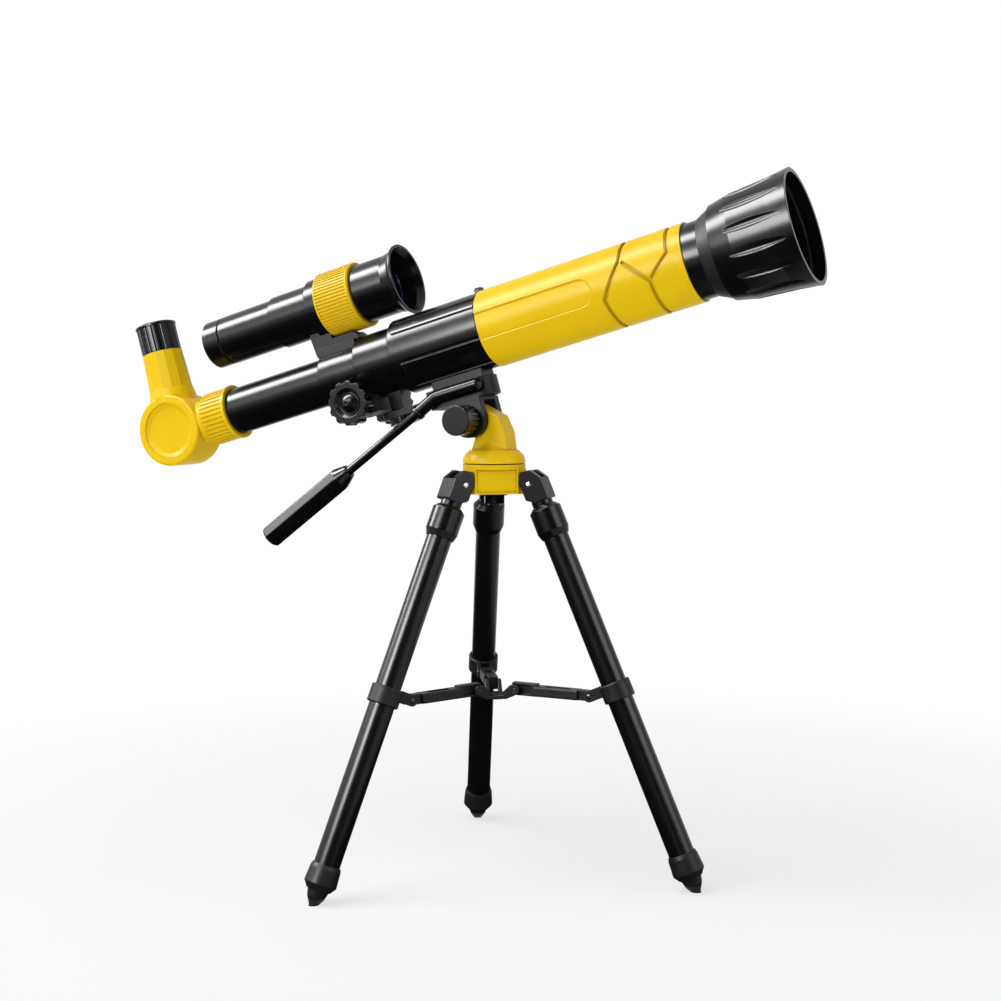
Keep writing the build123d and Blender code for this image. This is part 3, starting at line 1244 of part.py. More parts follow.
def diagonal_housing():
    """Drum with a mirror seat, an elbow towards the drawtube and a faceted eyepiece socket."""
    drum = rod_y(DRUM_R, -DRUM_HALF, DRUM_HALF)
    drum = fillet(drum.edges().filter_by(GeomType.CIRCLE), DRUM_ROUND)
    elbow = turned_z([
        (0, 0),
        (ELBOW_R, 0),
        (ELBOW_R, ELBOW_HEIGHT - ELBOW_FLARE),
        (SOCKET_BASE_R, ELBOW_HEIGHT),
        (0, ELBOW_HEIGHT),
    ])
    neck = rod_x(NECK_ELBOW_R, 0, DIAGONAL_COLLAR_REAR - SEAT - DIAGONAL_STATION)
    socket = loft([
        Pos(0, 0, ELBOW_HEIGHT - SKIN) * RegularPolygon(SOCKET_BASE_R, SOCKET_FACETS),
        Pos(0, 0, SOCKET_TOP) * RegularPolygon(SOCKET_TOP_R, SOCKET_FACETS),
    ])
    housing = drum + elbow + neck + socket
    in_front = Rot(0, 45, 0) * block(
        (-2 * DRUM_R, 2 * DRUM_R), (-2 * DRUM_R, 2 * DRUM_R), (-MIRROR_THICK, 4 * DRUM_R)
    )
    cavity = rod_y(MIRROR_CAVITY_R, -2 * DRUM_HALF, 2 * DRUM_HALF) & in_front
    inset = DRUM_HALF - COVER_INSET - COVER_THICK
    recesses = [
        rod_y(COVER_R + SEAT, inset, 2 * DRUM_HALF),
        rod_y(COVER_R + SEAT, -2 * DRUM_HALF, -inset),
    ]
    barrel_end = SOCKET_TOP - EYEPIECE_BARREL_LENGTH - SIDE_GAP
    light = rod_x(LIGHT_BORE, 0, DIAGONAL_COLLAR_FRONT - DIAGONAL_STATION) + rod_z(LIGHT_BORE, 0, 2 * SOCKET_TOP)
    bore = rod_z(EYEPIECE_BARREL_R + RUN, barrel_end, 2 * SOCKET_TOP)
    housing = housing - cavity - light - bore
    for recess in recesses:
        housing = housing - recess
    return Pos(DIAGONAL_STATION, 0, 0) * housing


def diagonal_covers():
    """Dished round covers that close the drum on both sides."""
    outer = DRUM_HALF - COVER_INSET
    cover = turned([
        (outer - COVER_THICK + SEAT, 0),
        (outer - COVER_THICK + SEAT, COVER_R),
        (outer, COVER_R),
        (outer - COVER_DISH, COVER_STEP_R),
        (outer - COVER_DISH, 0),
    ])
    place = Pos(DIAGONAL_STATION, 0, 0)
    return Compound(children=[place * Rot(0, 0, 90.0 * side) * cover for side in (-1, 1)])


def diagonal_mirror():
    plate = Pos(0, 0, -MIRROR_THICK / 2 + SEAT) * Box(MIRROR_LENGTH, MIRROR_WIDTH, MIRROR_THICK - SEAT)
    return Pos(DIAGONAL_STATION, 0, 0) * Rot(0, 45, 0) * plate


def eyepiece_body():
    """Fluted eyepiece with a barrel that slides in the socket."""
    seat = SOCKET_TOP + EYEPIECE_GAP
    lens_seat = EYEPIECE_TOP - EYE_LENS_DEPTH - EYE_LENS_THICK
    body = turned_z([
        (EYE_HOLE_R, SOCKET_TOP - EYEPIECE_BARREL_LENGTH),
        (EYEPIECE_BARREL_R, SOCKET_TOP - EYEPIECE_BARREL_LENGTH),
        (EYEPIECE_BARREL_R, seat),
        (EYEPIECE_R, seat),
        (EYEPIECE_R, EYEPIECE_TOP - EYEPIECE_CAP),
        (EYEPIECE_CAP_R, EYEPIECE_TOP - EYEPIECE_CAP),
        (EYEPIECE_CAP_R, EYEPIECE_TOP - EDGE / 2),
        (EYEPIECE_CAP_R - EDGE / 2, EYEPIECE_TOP),
        (EYE_LENS_R + SEAT, EYEPIECE_TOP),
        (EYE_LENS_R + SEAT, lens_seat),
        (EYE_HOLE_R, lens_seat),
    ])
    top = EYEPIECE_TOP - EYEPIECE_CAP
    flute = rod_z(EYEPIECE_FLUTE_R, seat - SKIN, top, EYEPIECE_R + EYEPIECE_FLUTE_R - EYEPIECE_FLUTE_DEPTH)
    return Pos(DIAGONAL_STATION, 0, 0) * (body - around_z(flute, EYEPIECE_FLUTES))


def eyepiece_lens():
    rear = EYEPIECE_TOP - EYE_LENS_DEPTH - EYE_LENS_THICK + SEAT
    glass = lens(EYE_LENS_R, rear, EYE_LENS_THICK - SEAT, EYE_LENS_DEPTH / 3)
    return Pos(DIAGONAL_STATION, 0, 0) * Rot(0, -90, 0) * glass


# Finder, about its own axis

def finder_body():
    return turned([
        (FINDER_REAR - EYECUP_SPIGOT, EYECUP_HOLE_R + EYECUP_WALL),
        (FINDER_REAR - EYECUP_SPIGOT, EYECUP_R - EYECUP_WALL),
        (FINDER_REAR, EYECUP_R - EYECUP_WALL),
        (FINDER_REAR, FINDER_REAR_R - EDGE),
        (FINDER_REAR + EDGE, FINDER_REAR_R),
        (FINDER_MID, FINDER_REAR_R),
        (FINDER_MID, FINDER_MID_R),
        (FINDER_BAND, FINDER_MID_R),
        (FINDER_BAND, FINDER_BAND_R - EDGE),
        (FINDER_BAND + EDGE, FINDER_BAND_R),
        (FINDER_RING_REAR - SIDE_GAP, FINDER_BAND_R),
        (FINDER_RING_REAR - SIDE_GAP, FINDER_SLEEVE_R),
        (FINDER_SLEEVE_FRONT, FINDER_SLEEVE_R),
        (FINDER_SLEEVE_FRONT, FINDER_BORE),
        (FINDER_REAR, FINDER_BORE),
        (FINDER_REAR, EYECUP_HOLE_R + EYECUP_WALL),
    ])


def finder_eyecup():
    return turned([
        (EYECUP_REAR, EYECUP_HOLE_R),
        (EYECUP_REAR, EYECUP_R - EDGE),
        (EYECUP_REAR + EDGE, EYECUP_R),
        (FINDER_REAR - SEAT - EDGE, EYECUP_R),
        (FINDER_REAR - SEAT, EYECUP_R - EDGE),
        (FINDER_REAR - SEAT, EYECUP_R - EYECUP_WALL + SEAT),
        (FINDER_REAR - EYECUP_SPIGOT - FINDER_EYE_LENS_THICK - SEAT, EYECUP_R - EYECUP_WALL + SEAT),
        (FINDER_REAR - EYECUP_SPIGOT - FINDER_EYE_LENS_THICK - SEAT, EYECUP_HOLE_R),
    ])


def finder_eye_lens():
    rear = FINDER_REAR - EYECUP_SPIGOT - FINDER_EYE_LENS_THICK
    return rod_x(EYECUP_R - EYECUP_WALL, rear, rear + FINDER_EYE_LENS_THICK - SEAT)


def finder_ring():
    ring = turned([
        (FINDER_RING_REAR, FINDER_SLEEVE_R + RUN),
        (FINDER_RING_REAR, FINDER_RING_R - EDGE),
        (FINDER_RING_REAR + EDGE, FINDER_RING_R),
        (FINDER_RING_FRONT - EDGE, FINDER_RING_R),
        (FINDER_RING_FRONT, FINDER_RING_R - EDGE),
        (FINDER_RING_FRONT, FINDER_SLEEVE_R + RUN),
    ])
    groove = rod_x(
        FINDER_RING_RIB_R, FINDER_RING_REAR + FINDER_RING_LIP, FINDER_RING_FRONT - FINDER_RING_LIP, 0, FINDER_RING_R
    )
    return ring - around_x(groove, FINDER_RING_RIBS)


def finder_front_tube():
    seat_r = FINDER_TUBE_R - FINDER_TUBE_WALL
    return turned([
        (FINDER_TUBE_REAR, FINDER_SLEEVE_R + RUN),
        (FINDER_TUBE_REAR, FINDER_TUBE_R - EDGE),
        (FINDER_TUBE_REAR + EDGE, FINDER_TUBE_R),
        (FINDER_FLARE, FINDER_TUBE_R),
        (FINDER_FLARE_MID, FINDER_FLARE_MID_R),
        (FINDER_MOUTH - EDGE, FINDER_MOUTH_R),
        (FINDER_MOUTH, FINDER_MOUTH_R),
        (FINDER_MOUTH, FINDER_MOUTH_R - FINDER_TUBE_WALL),
        (FINDER_FLARE_MID, FINDER_FLARE_MID_R - FINDER_TUBE_WALL),
        (FINDER_FLARE, seat_r + SEAT),
        (FINDER_LENS_REAR, seat_r + SEAT),
        (FINDER_LENS_REAR, FINDER_SLEEVE_R + RUN),
    ])


def finder_front_lens():
    radius = FINDER_TUBE_R - FINDER_TUBE_WALL
    return lens(radius, FINDER_LENS_REAR + SEAT, FINDER_LENS_THICK, LENS_BULGE)


def finder_bracket():
    """Pedestal from the body's nose to the finder, stepped to clear the turning ring."""
    ring_low = FINDER_HEIGHT - FINDER_RING_R - BRACKET_STEP_GAP
    post = slab(
        [
            (BRACKET_REAR, FINDER_HEIGHT),
            (BRACKET_REAR, ring_low + BRACKET_FLANGE),
            (NOSE_REAR, 0),
            (BRACKET_FRONT, 0),
            (BRACKET_FRONT, ring_low - BRACKET_FLANGE),
            (BRACKET_FRONT - BRACKET_FLANGE, ring_low),
            (FINDER_RING_REAR - BRACKET_STEP_GAP, ring_low),
            (FINDER_RING_REAR - BRACKET_STEP_GAP, FINDER_HEIGHT),
        ],
        -BRACKET_HALF,
        BRACKET_HALF,
    )
    flange = block(
        (NOSE_REAR, STEP_REAR - SEAT), (-BRACKET_FLANGE_HALF, BRACKET_FLANGE_HALF), (0, NOSE_R + BRACKET_FLANGE)
    )
    nose = rod_x(NOSE_R + SEAT, BRACKET_REAR - SKIN, STEP_REAR + SKIN)
    step = rod_x(STEP_R + SEAT, STEP_REAR - SEAT, BODY_REAR)
    finder_mid = rod_x(FINDER_MID_R + SEAT, BRACKET_REAR - SKIN, FINDER_BAND + SKIN, 0, FINDER_HEIGHT)
    finder_band = rod_x(FINDER_BAND_R + SEAT, FINDER_BAND, FINDER_RING_REAR + SKIN, 0, FINDER_HEIGHT)
    return post + flange - nose - step - finder_mid - finder_band


# Assembly

def pieces():
    """Every node's name with its solid in the part's frame."""
    nodes = {
        "tripod_hub": tripod_hub(),
        "leg_pivot_pins": leg_pivot_pins(),
        "spreader_hub": spreader_hub(),
        "spreader_hub_pins": spreader_hub_pins(),
        "pan_head": pan_head(),
        "pan_bolt": pan_bolt(),
        "pan_nut": pan_nut(),
    }
    for name, azimuth in LEG_AZIMUTHS.items():
        place = leg_place(azimuth)
        nodes["leg_bracket_" + name] = place * leg_bracket()
        nodes["leg_tube_" + name] = place * leg_tube()
        nodes["leg_collar_" + name] = place * leg_collar()
        nodes["collar_pin_" + name] = place * collar_pin()
        nodes["foot_cap_" + name] = foot_cap(azimuth)
        nodes["spreader_arm_" + name] = arm_place(azimuth) * spreader_arm()
    on_telescope = (
        tilt_clevis, tilt_bolt, tilt_knob, tilt_nut, platform_plate, saddle_pad, mount_screw,
        handle_socket, handle_rod, handle_grip,
        main_body, objective_tube, front_ring, objective_lens, lens_retainer, hood_collar, hood,
        drawtube, focus_rack, focus_pinion, pinion_cover,
        diagonal_collar, diagonal_housing, diagonal_covers, diagonal_mirror, eyepiece_body, eyepiece_lens,
        finder_bracket,
    )
    for make in on_telescope:
        nodes[make.__name__] = TELESCOPE * make()
    nodes["focus_knobs"] = TELESCOPE * Compound(children=[focus_knob(side) for side in (-1, 1)])
    on_finder = (finder_body, finder_eyecup, finder_eye_lens, finder_ring, finder_front_tube, finder_front_lens)
    for make in on_finder:
        nodes[make.__name__] = FINDER * make()
    return nodes


def main():
    os.makedirs("parts", exist_ok=True)
    for name, shape in pieces().items():
        export_step(shape, f"parts/{name}.step")


main()
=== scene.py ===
import json
import math

import bmesh
import bpy
from mathutils import Matrix, Vector


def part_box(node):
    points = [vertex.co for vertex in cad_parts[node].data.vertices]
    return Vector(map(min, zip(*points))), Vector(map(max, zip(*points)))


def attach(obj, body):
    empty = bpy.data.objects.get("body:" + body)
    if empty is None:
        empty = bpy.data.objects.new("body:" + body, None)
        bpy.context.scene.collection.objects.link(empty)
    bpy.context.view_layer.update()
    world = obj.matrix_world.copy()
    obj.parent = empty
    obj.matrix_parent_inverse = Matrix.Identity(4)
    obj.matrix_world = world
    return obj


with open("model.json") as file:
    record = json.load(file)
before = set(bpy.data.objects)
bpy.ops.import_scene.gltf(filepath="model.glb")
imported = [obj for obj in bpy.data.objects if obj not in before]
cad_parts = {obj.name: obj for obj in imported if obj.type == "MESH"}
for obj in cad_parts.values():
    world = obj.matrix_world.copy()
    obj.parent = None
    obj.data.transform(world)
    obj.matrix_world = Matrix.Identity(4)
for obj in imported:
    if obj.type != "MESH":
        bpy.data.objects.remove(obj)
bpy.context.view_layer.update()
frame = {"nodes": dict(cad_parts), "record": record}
NODES = frame["nodes"]
JOINTS = {joint["name"]: joint for joint in frame["record"]["behaviour"]["joints"]}

# Camera, fitted to the photograph: metres, degrees, and millimetres for the lens and the sensor
CAMERA_PLACE = (0.43547, -0.96003, 0.29663)
CAMERA_TURN = 24.192  # from +Y towards -X, seen from above
CAMERA_DIP = 3.649
CAMERA_ROLL = -0.256
CAMERA_LENS = 61.79
SENSOR = 36.0

# Studio: metres, and brightness where white is 1
AMBIENT = 0.36
FLOOR_SIZE = 12.0
FLOOR_NEAR = 0.22
FLOOR_FAR = 0.70
FLOOR_GLOW = 0.65  # share of plain white in the floor round the feet
FLOOR_DARK = (0.86, 0.86, 0.86)
FLOOR_LIGHT = (0.90, 0.90, 0.90)
LIT_POINT = (0.0, 0.0, 0.28)
TUBE_WAY = (0.897, -0.04, 0.44)  # long side of the strips over the telescope
UPRIGHT = (0.0, 0.0, 1.0)
# Boxes of light: name, place, way up, width, height, brightness
SOFTBOXES = [
    ("top_box", (-0.65, -0.36, 1.25), TUBE_WAY, 0.6, 1.1, 5.0),
    ("front_box", (-0.55, -1.15, 0.75), UPRIGHT, 0.5, 0.7, 3.3),
    ("right_box", (1.30, 0.05, 0.55), UPRIGHT, 0.4, 0.8, 3.0),
]
# Box that fills the shade under the telescope and does not show in glossy surfaces
FILL = ("low_fill", (0.35, -1.30, 0.22), UPRIGHT, 1.0, 0.4, 2.6)
# Boxes that only show as highlights in glossy surfaces
HIGHLIGHTS = [
    ("top_highlight", (-0.80, -0.37, 1.24), TUBE_WAY, 0.42, 1.45, 44.0),
    ("front_highlight", (-0.50, -1.00, 0.85), TUBE_WAY, 0.45, 1.2, 3.5),
    ("leg_highlight", (-0.35, -1.05, 0.62), UPRIGHT, 0.45, 0.35, 42.0),
    ("right_highlight", (1.05, -0.35, 0.60), UPRIGHT, 0.60, 0.5, 6.0),
    ("grip_highlight", (-1.03, -0.47, 0.62), UPRIGHT, 0.20, 0.20, 10.0),
]
# Dark cards that only glossy surfaces show: name, place, point faced, way up, width, height
CARDS = [
    ("rear_card", (0.95, -2.10, 0.60), LIT_POINT, UPRIGHT, 5.0, 3.0),
    ("floor_card", (-0.35, -0.40, 0.004), (-0.35, -0.40, 1.0), (0.0, 1.0, 0.0), 1.0, 1.6),
]
CARD_LIGHT = (0.020, 0.020, 0.020)
CARD_DARK = (0.012, 0.012, 0.012)

# Rivet heads on the ends of the pins: metres, the halves from a pin's middle to its end
PIVOT_HALF = 0.0067
PIVOT_RIVET_R = 0.0017
COLLAR_HALF = 0.0052
COLLAR_RIVET_R = 0.0016
RIVET_RISE = 0.0005
RIVET_DEPTH = 0.0002
RIVET_NECK = 0.8  # share of the head's radius
RIVET_PINHOLE = 0.02  # share of the head's radius
RIVET_ARC = range(0, 85, 12)  # degrees of the dome
RIVET_STEPS = 32

# Tube lining: metres, along the optical axis from over the pan axis
LINING_REAR = 0.0175
LINING_FRONT = 0.1210
LINING_R = 0.0219
LINING_WALL = 0.0005
BAFFLES = (0.105, 0.075, 0.045)
BAFFLE_THICK = 0.0012
BAFFLE_R = 0.0190
LINING_STEPS = 96

# Focus knob screws: metres, and the last five are shares of a radius
SCREW_R = 0.0021
SCREW_RISE = 0.0006
SCREW_SINK = 0.0006
SCREW_DEPTH = 0.0010
SCREW_STEPS = 48
SOCKET_SIDES = 6
SOCKET_LEVEL = SCREW_RISE - SCREW_DEPTH / 3  # the outline has six sides below it
SCREW_BORE = 0.6
SCREW_SHOULDER = 0.82
SOCKET_MOUTH = 0.52
SOCKET_FLOOR = 0.48
SOCKET_FLAT = 0.13

# Handle ferrule and eyepiece guard: metres, in the telescope's frame
HANDLE_Y = -0.0130
HANDLE_STEP = (-0.0585, -0.0382)
HANDLE_GRIP_START = (-0.1144, -0.0600)
FERRULE_LENGTH = 0.0032
FERRULE_R = 0.0045
FERRULE_BORE = 0.0036
FERRULE_EDGE = 0.0005
FERRULE_STEPS = 48
EYEPIECE_STATION = -0.2380
EYEPIECE_TOP = 0.0724
EYE_RIM_R = 0.0108  # middle of the eyepiece's top rim
GUARD_R = 0.0012
GUARD_SINK = 0.0004
GUARD_STEPS = 16
GUARD_TURNS = 72

# Painted corner shade: how near a wall darkens a colour, and the span of openness over which it does
CORNER_REACH = 0.0025
CORNER_SPAN = (0.35, 0.85)

# Edges: the radius at which they look rounded, and the rounding of a detail piece
EDGE_R = 0.0005
GRIP_EDGE_R = 0.0016
EDGE_SAMPLES = 6
EDGE_WIDTH = 0.00035
EDGE_ANGLE = 35.0
EDGE_SEGMENTS = 2

# Noise patterns: scale and detail
CLOUD = (45.0, 3.0)
GLOSS = (120.0, 4.0)
STREAK = (300.0, 4.0)
DUST = (90.0, 5.0)
HAZE = (60.0, 4.0)
FLOOR_CLOUD = (3.0, 3.0)
CARD_CLOUD = (2.0, 3.0)
GRAIN_DETAIL = 2.0
NOISE_SPAN = (0.3, 0.7)  # where most of a noise pattern's values lie

# Surfaces: spans of roughness, strength and depth of the relief, and the glass
STEEL_ROUGH = (0.18, 0.34)
GLASS_ROUGH = (0.02, 0.06)
MIRROR_ROUGH = (0.02, 0.05)
PAPER_ROUGH = 0.9
GRAIN_STRENGTH = 0.25
STREAK_STRETCH = (1.0, 8.0, 1.0)
STREAK_STRENGTH = 0.15
STREAK_DEPTH = 0.00005
GLASS_INDEX = 1.52
GLASS_COAT = 0.6

# Colours, linear
YELLOW_LIGHT = (0.86, 0.57, 0.006)
YELLOW_DARK = (0.82, 0.53, 0.005)
# painted shade for grooves and inner corners of the yellow
YELLOW_CORNER_SHADE = (0.30, 0.14, 0.002)
BLACK_LIGHT = (0.0040, 0.0040, 0.0044)
BLACK_DARK = (0.0022, 0.0022, 0.0024)
# painted shade for grooves and inner corners of the black, grey and rubber
BLACK_CORNER_SHADE = (0.0015, 0.0015, 0.0015)
GREY_LIGHT = (0.012, 0.012, 0.013)
GREY_DARK = (0.007, 0.007, 0.008)
RUBBER_LIGHT = (0.012, 0.012, 0.012)
RUBBER_DARK = (0.007, 0.007, 0.007)
STEEL_LIGHT = (0.72, 0.72, 0.74)
STEEL_DARK = (0.52, 0.52, 0.54)
BLUED_LIGHT = (0.060, 0.060, 0.064)
BLUED_DARK = (0.030, 0.030, 0.033)
GLASS_LIGHT = (0.90, 0.93, 1.0)
GLASS_DARK = (0.80, 0.86, 0.97)
COAT_TINT = (0.55, 0.65, 1.0, 1.0)
SILVER_LIGHT = (0.93, 0.94, 0.95)
SILVER_DARK = (0.85, 0.86, 0.88)
WHITE = (1.0, 1.0, 1.0, 1.0)


# Materials

def new_material(name):
    """New material with its node tree and main shader."""
    material = bpy.data.materials.new(name)
    material.use_nodes = True
    return material, material.node_tree, material.node_tree.nodes["Principled BSDF"]


def noise(tree, scale, detail, stretch=None):
    """Noise over the object's own coordinates, stretched along an axis if asked."""
    place = tree.nodes.new("ShaderNodeTexCoord").outputs["Object"]
    if stretch:
        mapping = tree.nodes.new("ShaderNodeMapping")
        mapping.inputs["Scale"].default_value = stretch
        tree.links.new(place, mapping.inputs["Vector"])
        place = mapping.outputs["Vector"]
    texture = tree.nodes.new("ShaderNodeTexNoise")
    texture.inputs["Scale"].default_value = scale
    texture.inputs["Detail"].default_value = detail
    tree.links.new(place, texture.inputs["Vector"])
    return texture.outputs["Fac"]


def ramp(tree, factor, low, high):
    """Colour between two colours, by a noise pattern."""
    node = tree.nodes.new("ShaderNodeValToRGB")
    for element, position, colour in zip(node.color_ramp.elements, NOISE_SPAN, (low, high)):
        element.position = position
        element.color = (*colour, 1.0)
    tree.links.new(factor, node.inputs["Fac"])
    return node.outputs["Color"]


def spread(tree, factor, low, high, span=NOISE_SPAN):
    """Value between two limits, by where a factor lies in a span."""
    node = tree.nodes.new("ShaderNodeMapRange")
    node.inputs["From Min"].default_value, node.inputs["From Max"].default_value = span
    node.inputs["To Min"].default_value = low
    node.inputs["To Max"].default_value = high
    tree.links.new(factor, node.inputs["Value"])
    return node.outputs["Result"]


def bump(tree, shader, height, strength, distance, edge=EDGE_R):
    """Fine relief on a surface whose edges look rounded."""
    rounded = tree.nodes.new("ShaderNodeBevel")
    rounded.samples = EDGE_SAMPLES
    rounded.inputs["Radius"].default_value = edge
    node = tree.nodes.new("ShaderNodeBump")
    tree.links.new(rounded.outputs["Normal"], node.inputs["Normal"])
    node.inputs["Strength"].default_value = strength
    node.inputs["Distance"].default_value = distance
    tree.links.new(height, node.inputs["Height"])
    tree.links.new(node.outputs["Normal"], shader.inputs["Normal"])


def painted_corner_shade(tree, colour, corner_shade):
    """Paints shade into a colour in grooves and inner corners, where the object shades itself."""
    corner = tree.nodes.new("ShaderNodeAmbientOcclusion")
    corner.inputs["Distance"].default_value = CORNER_REACH
    mix = tree.nodes.new("ShaderNodeMix")
    mix.data_type = "RGBA"
    sockets = {socket.identifier: socket for socket in [*mix.inputs, *mix.outputs]}
    sockets["A_Color"].default_value = (*corner_shade, 1.0)
    tree.links.new(colour, sockets["B_Color"])
    tree.links.new(spread(tree, corner.outputs["AO"], 0.0, 1.0, CORNER_SPAN), sockets["Factor_Float"])
    return sockets["Result_Color"]


def moulded(name, light, dark, corner_shade, roughness, grain, grain_depth, specular, edge=EDGE_R):
    """Moulded or coated surface: cloudy colour, painted shade in grooves and corners, uneven gloss
    and a fine grain.
    """
    material, tree, shader = new_material(name)
    colour = ramp(tree, noise(tree, *CLOUD), dark, light)
    # painted shade darkens the colour in grooves and inner corners
    tree.links.new(painted_corner_shade(tree, colour, corner_shade), shader.inputs["Base Color"])
    tree.links.new(spread(tree, noise(tree, *GLOSS), *roughness), shader.inputs["Roughness"])
    shader.inputs["Specular IOR Level"].default_value = specular
    bump(tree, shader, noise(tree, grain, GRAIN_DETAIL), GRAIN_STRENGTH, grain_depth, edge)
    return material


def steel(name, light, dark):
    """Turned steel with fine streaks."""
    material, tree, shader = new_material(name)
    streak = noise(tree, *STREAK, STREAK_STRETCH)
    tree.links.new(ramp(tree, streak, dark, light), shader.inputs["Base Color"])
    tree.links.new(spread(tree, streak, *STEEL_ROUGH), shader.inputs["Roughness"])
    shader.inputs["Metallic"].default_value = 1.0
    bump(tree, shader, streak, STREAK_STRENGTH, STREAK_DEPTH)
    return material


def coated_glass(name):
    """Lens glass with a faint blue coating and a trace of dust."""
    material, tree, shader = new_material(name)
    dust = noise(tree, *DUST)
    tree.links.new(ramp(tree, dust, GLASS_DARK, GLASS_LIGHT), shader.inputs["Base Color"])
    tree.links.new(spread(tree, dust, *GLASS_ROUGH), shader.inputs["Roughness"])
    shader.inputs["Transmission Weight"].default_value = 1.0
    shader.inputs["IOR"].default_value = GLASS_INDEX
    shader.inputs["Coat Weight"].default_value = GLASS_COAT
    shader.inputs["Coat Tint"].default_value = COAT_TINT
    return material


def silvered(name):
    """Silvered glass with a faint haze."""
    material, tree, shader = new_material(name)
    haze = noise(tree, *HAZE)
    tree.links.new(ramp(tree, haze, SILVER_DARK, SILVER_LIGHT), shader.inputs["Base Color"])
    tree.links.new(spread(tree, haze, *MIRROR_ROUGH), shader.inputs["Roughness"])
    shader.inputs["Metallic"].default_value = 1.0
    return material


YELLOW = (YELLOW_LIGHT, YELLOW_DARK, YELLOW_CORNER_SHADE)
BLACK = (BLACK_LIGHT, BLACK_DARK, BLACK_CORNER_SHADE)
GREY = (GREY_LIGHT, GREY_DARK, BLACK_CORNER_SHADE)
RUBBER = (RUBBER_LIGHT, RUBBER_DARK, BLACK_CORNER_SHADE)
# Moulded looks: colours with the painted shade for corners, span of roughness, scale and depth of the
# grain, specular level
MATERIALS = {
    "yellow_plastic": moulded("yellow_plastic", *YELLOW, (0.28, 0.38), 700.0, 0.00003, 0.06),
    "black_plastic": moulded("black_plastic", *BLACK, (0.22, 0.25), 300.0, 0.000005, 0.18),
    "grey_black_plastic": moulded("grey_black_plastic", *GREY, (0.40, 0.52), 1400.0, 0.00006, 0.15),
    "black_tube": moulded("black_tube", *BLACK, (0.24, 0.27), 300.0, 0.000005, 0.22),
    "grip_black": moulded("grip_black", *BLACK, (0.10, 0.12), 300.0, 0.000002, 0.22, GRIP_EDGE_R),
    "rod_black": moulded("rod_black", *BLACK, (0.10, 0.12), 300.0, 0.000002, 0.22),
    "black_rubber": moulded("black_rubber", *RUBBER, (0.36, 0.48), 1100.0, 0.00006, 0.15),
    "steel": steel("steel", STEEL_LIGHT, STEEL_DARK),
    "dark_steel": steel("dark_steel", BLUED_LIGHT, BLUED_DARK),
    "lens_glass": coated_glass("lens_glass"),
    "mirror": silvered("mirror"),
}
SLOTS = {entry["node"]: entry["material_slot"] for entry in frame["record"]["subparts"]}
LOOKS = {"handle_grip": "grip_black", "handle_rod": "rod_black"}  # glossier than their slot's look


def soften(piece):
    """Small rounding on sharp edges, which catches the light."""
    edges = piece.modifiers.new("soft_edges", "BEVEL")
    edges.width = EDGE_WIDTH
    edges.segments = EDGE_SEGMENTS
    edges.limit_method = "ANGLE"
    edges.angle_limit = math.radians(EDGE_ANGLE)
    edges.harden_normals = True


def dress_nodes():
    """Gives every CAD node its material."""
    for name, node in NODES.items():
        node.data.materials.clear()
        node.data.materials.append(MATERIALS[LOOKS.get(name, SLOTS[name])])


# Detail pieces

def joint_place(name, along=0.0):
    """Matrix with its x axis along a joint's axis, at a distance along it from the joint's place."""
    joint = JOINTS[name]
    axis = Vector(joint["axis"]).normalized()
    turn = Vector((1.0, 0.0, 0.0)).rotation_difference(axis).to_matrix().to_4x4()
    return Matrix.Translation(Vector(joint["pos_m"]) + axis * along) @ turn


def facing_side(side):
    """Half turn for a piece on the lower end of an axis, and none for one on the upper end."""
    return Matrix.Rotation(math.pi, 4, "Z") if side < 0 else Matrix.Identity(4)


def telescope_place():
    """Matrix with its x axis on the optical axis, its origin over the pan axis and its z axis up."""
    ahead = Vector(JOINTS["focus_slide"]["axis"]).normalized()
    left = Vector((0.0, 1.0, 0.0))
    on_axis = Vector(JOINTS["diagonal_turn"]["pos_m"])
    turn = Matrix((ahead, left, ahead.cross(left))).transposed().to_4x4()
    return Matrix.Translation(on_axis - ahead * (on_axis.x / ahead.x)) @ turn


def add_piece(name, vertices, faces, place, material, body):
    """Detail piece of a material, which rides on a body."""
    mesh = bpy.data.meshes.new(name)
    mesh.from_pydata([place @ Vector(v) for v in vertices], [], faces)
    mesh.validate()
    shell = bmesh.new()
    shell.from_mesh(mesh)
    bmesh.ops.recalc_face_normals(shell, faces=shell.faces)
    shell.to_mesh(mesh)
    shell.free()
    mesh.materials.append(MATERIALS[material])
    for face in mesh.polygons:
        face.use_smooth = True
    piece = bpy.data.objects.new(name, mesh)
    bpy.context.scene.collection.objects.link(piece)
    soften(piece)
    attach(piece, body)


def lathe(profile, steps, twist=None):
    """Closed loop of (x, radius) points turned about the x axis into a ring. twist scales a point's
    radius by its turn and its place along the axis."""
    vertices = []
    for k in range(steps):
        turn = 2.0 * math.pi * k / steps
        for x, radius in profile:
            size = radius if twist is None else radius * twist(turn, x)
            vertices.append((x, size * math.cos(turn), size * math.sin(turn)))
    count = len(profile)
    faces = []
    for k in range(steps):
        here, after = k * count, (k + 1) % steps * count
        for i in range(count):
            j = (i + 1) % count
            faces.append((here + i, here + j, after + j, after + i))
    return vertices, faces


def rivet_profile(radius, height, depth):
    """Domed rivet head that reaches a little into what it closes."""
    rim = radius * RIVET_PINHOLE
    turns = [math.radians(angle) for angle in RIVET_ARC]
    curve = [(height * math.sin(turn), radius * math.cos(turn)) for turn in turns]
    return [(-depth, rim), (-depth, radius * RIVET_NECK)] + curve + [(height, rim)]


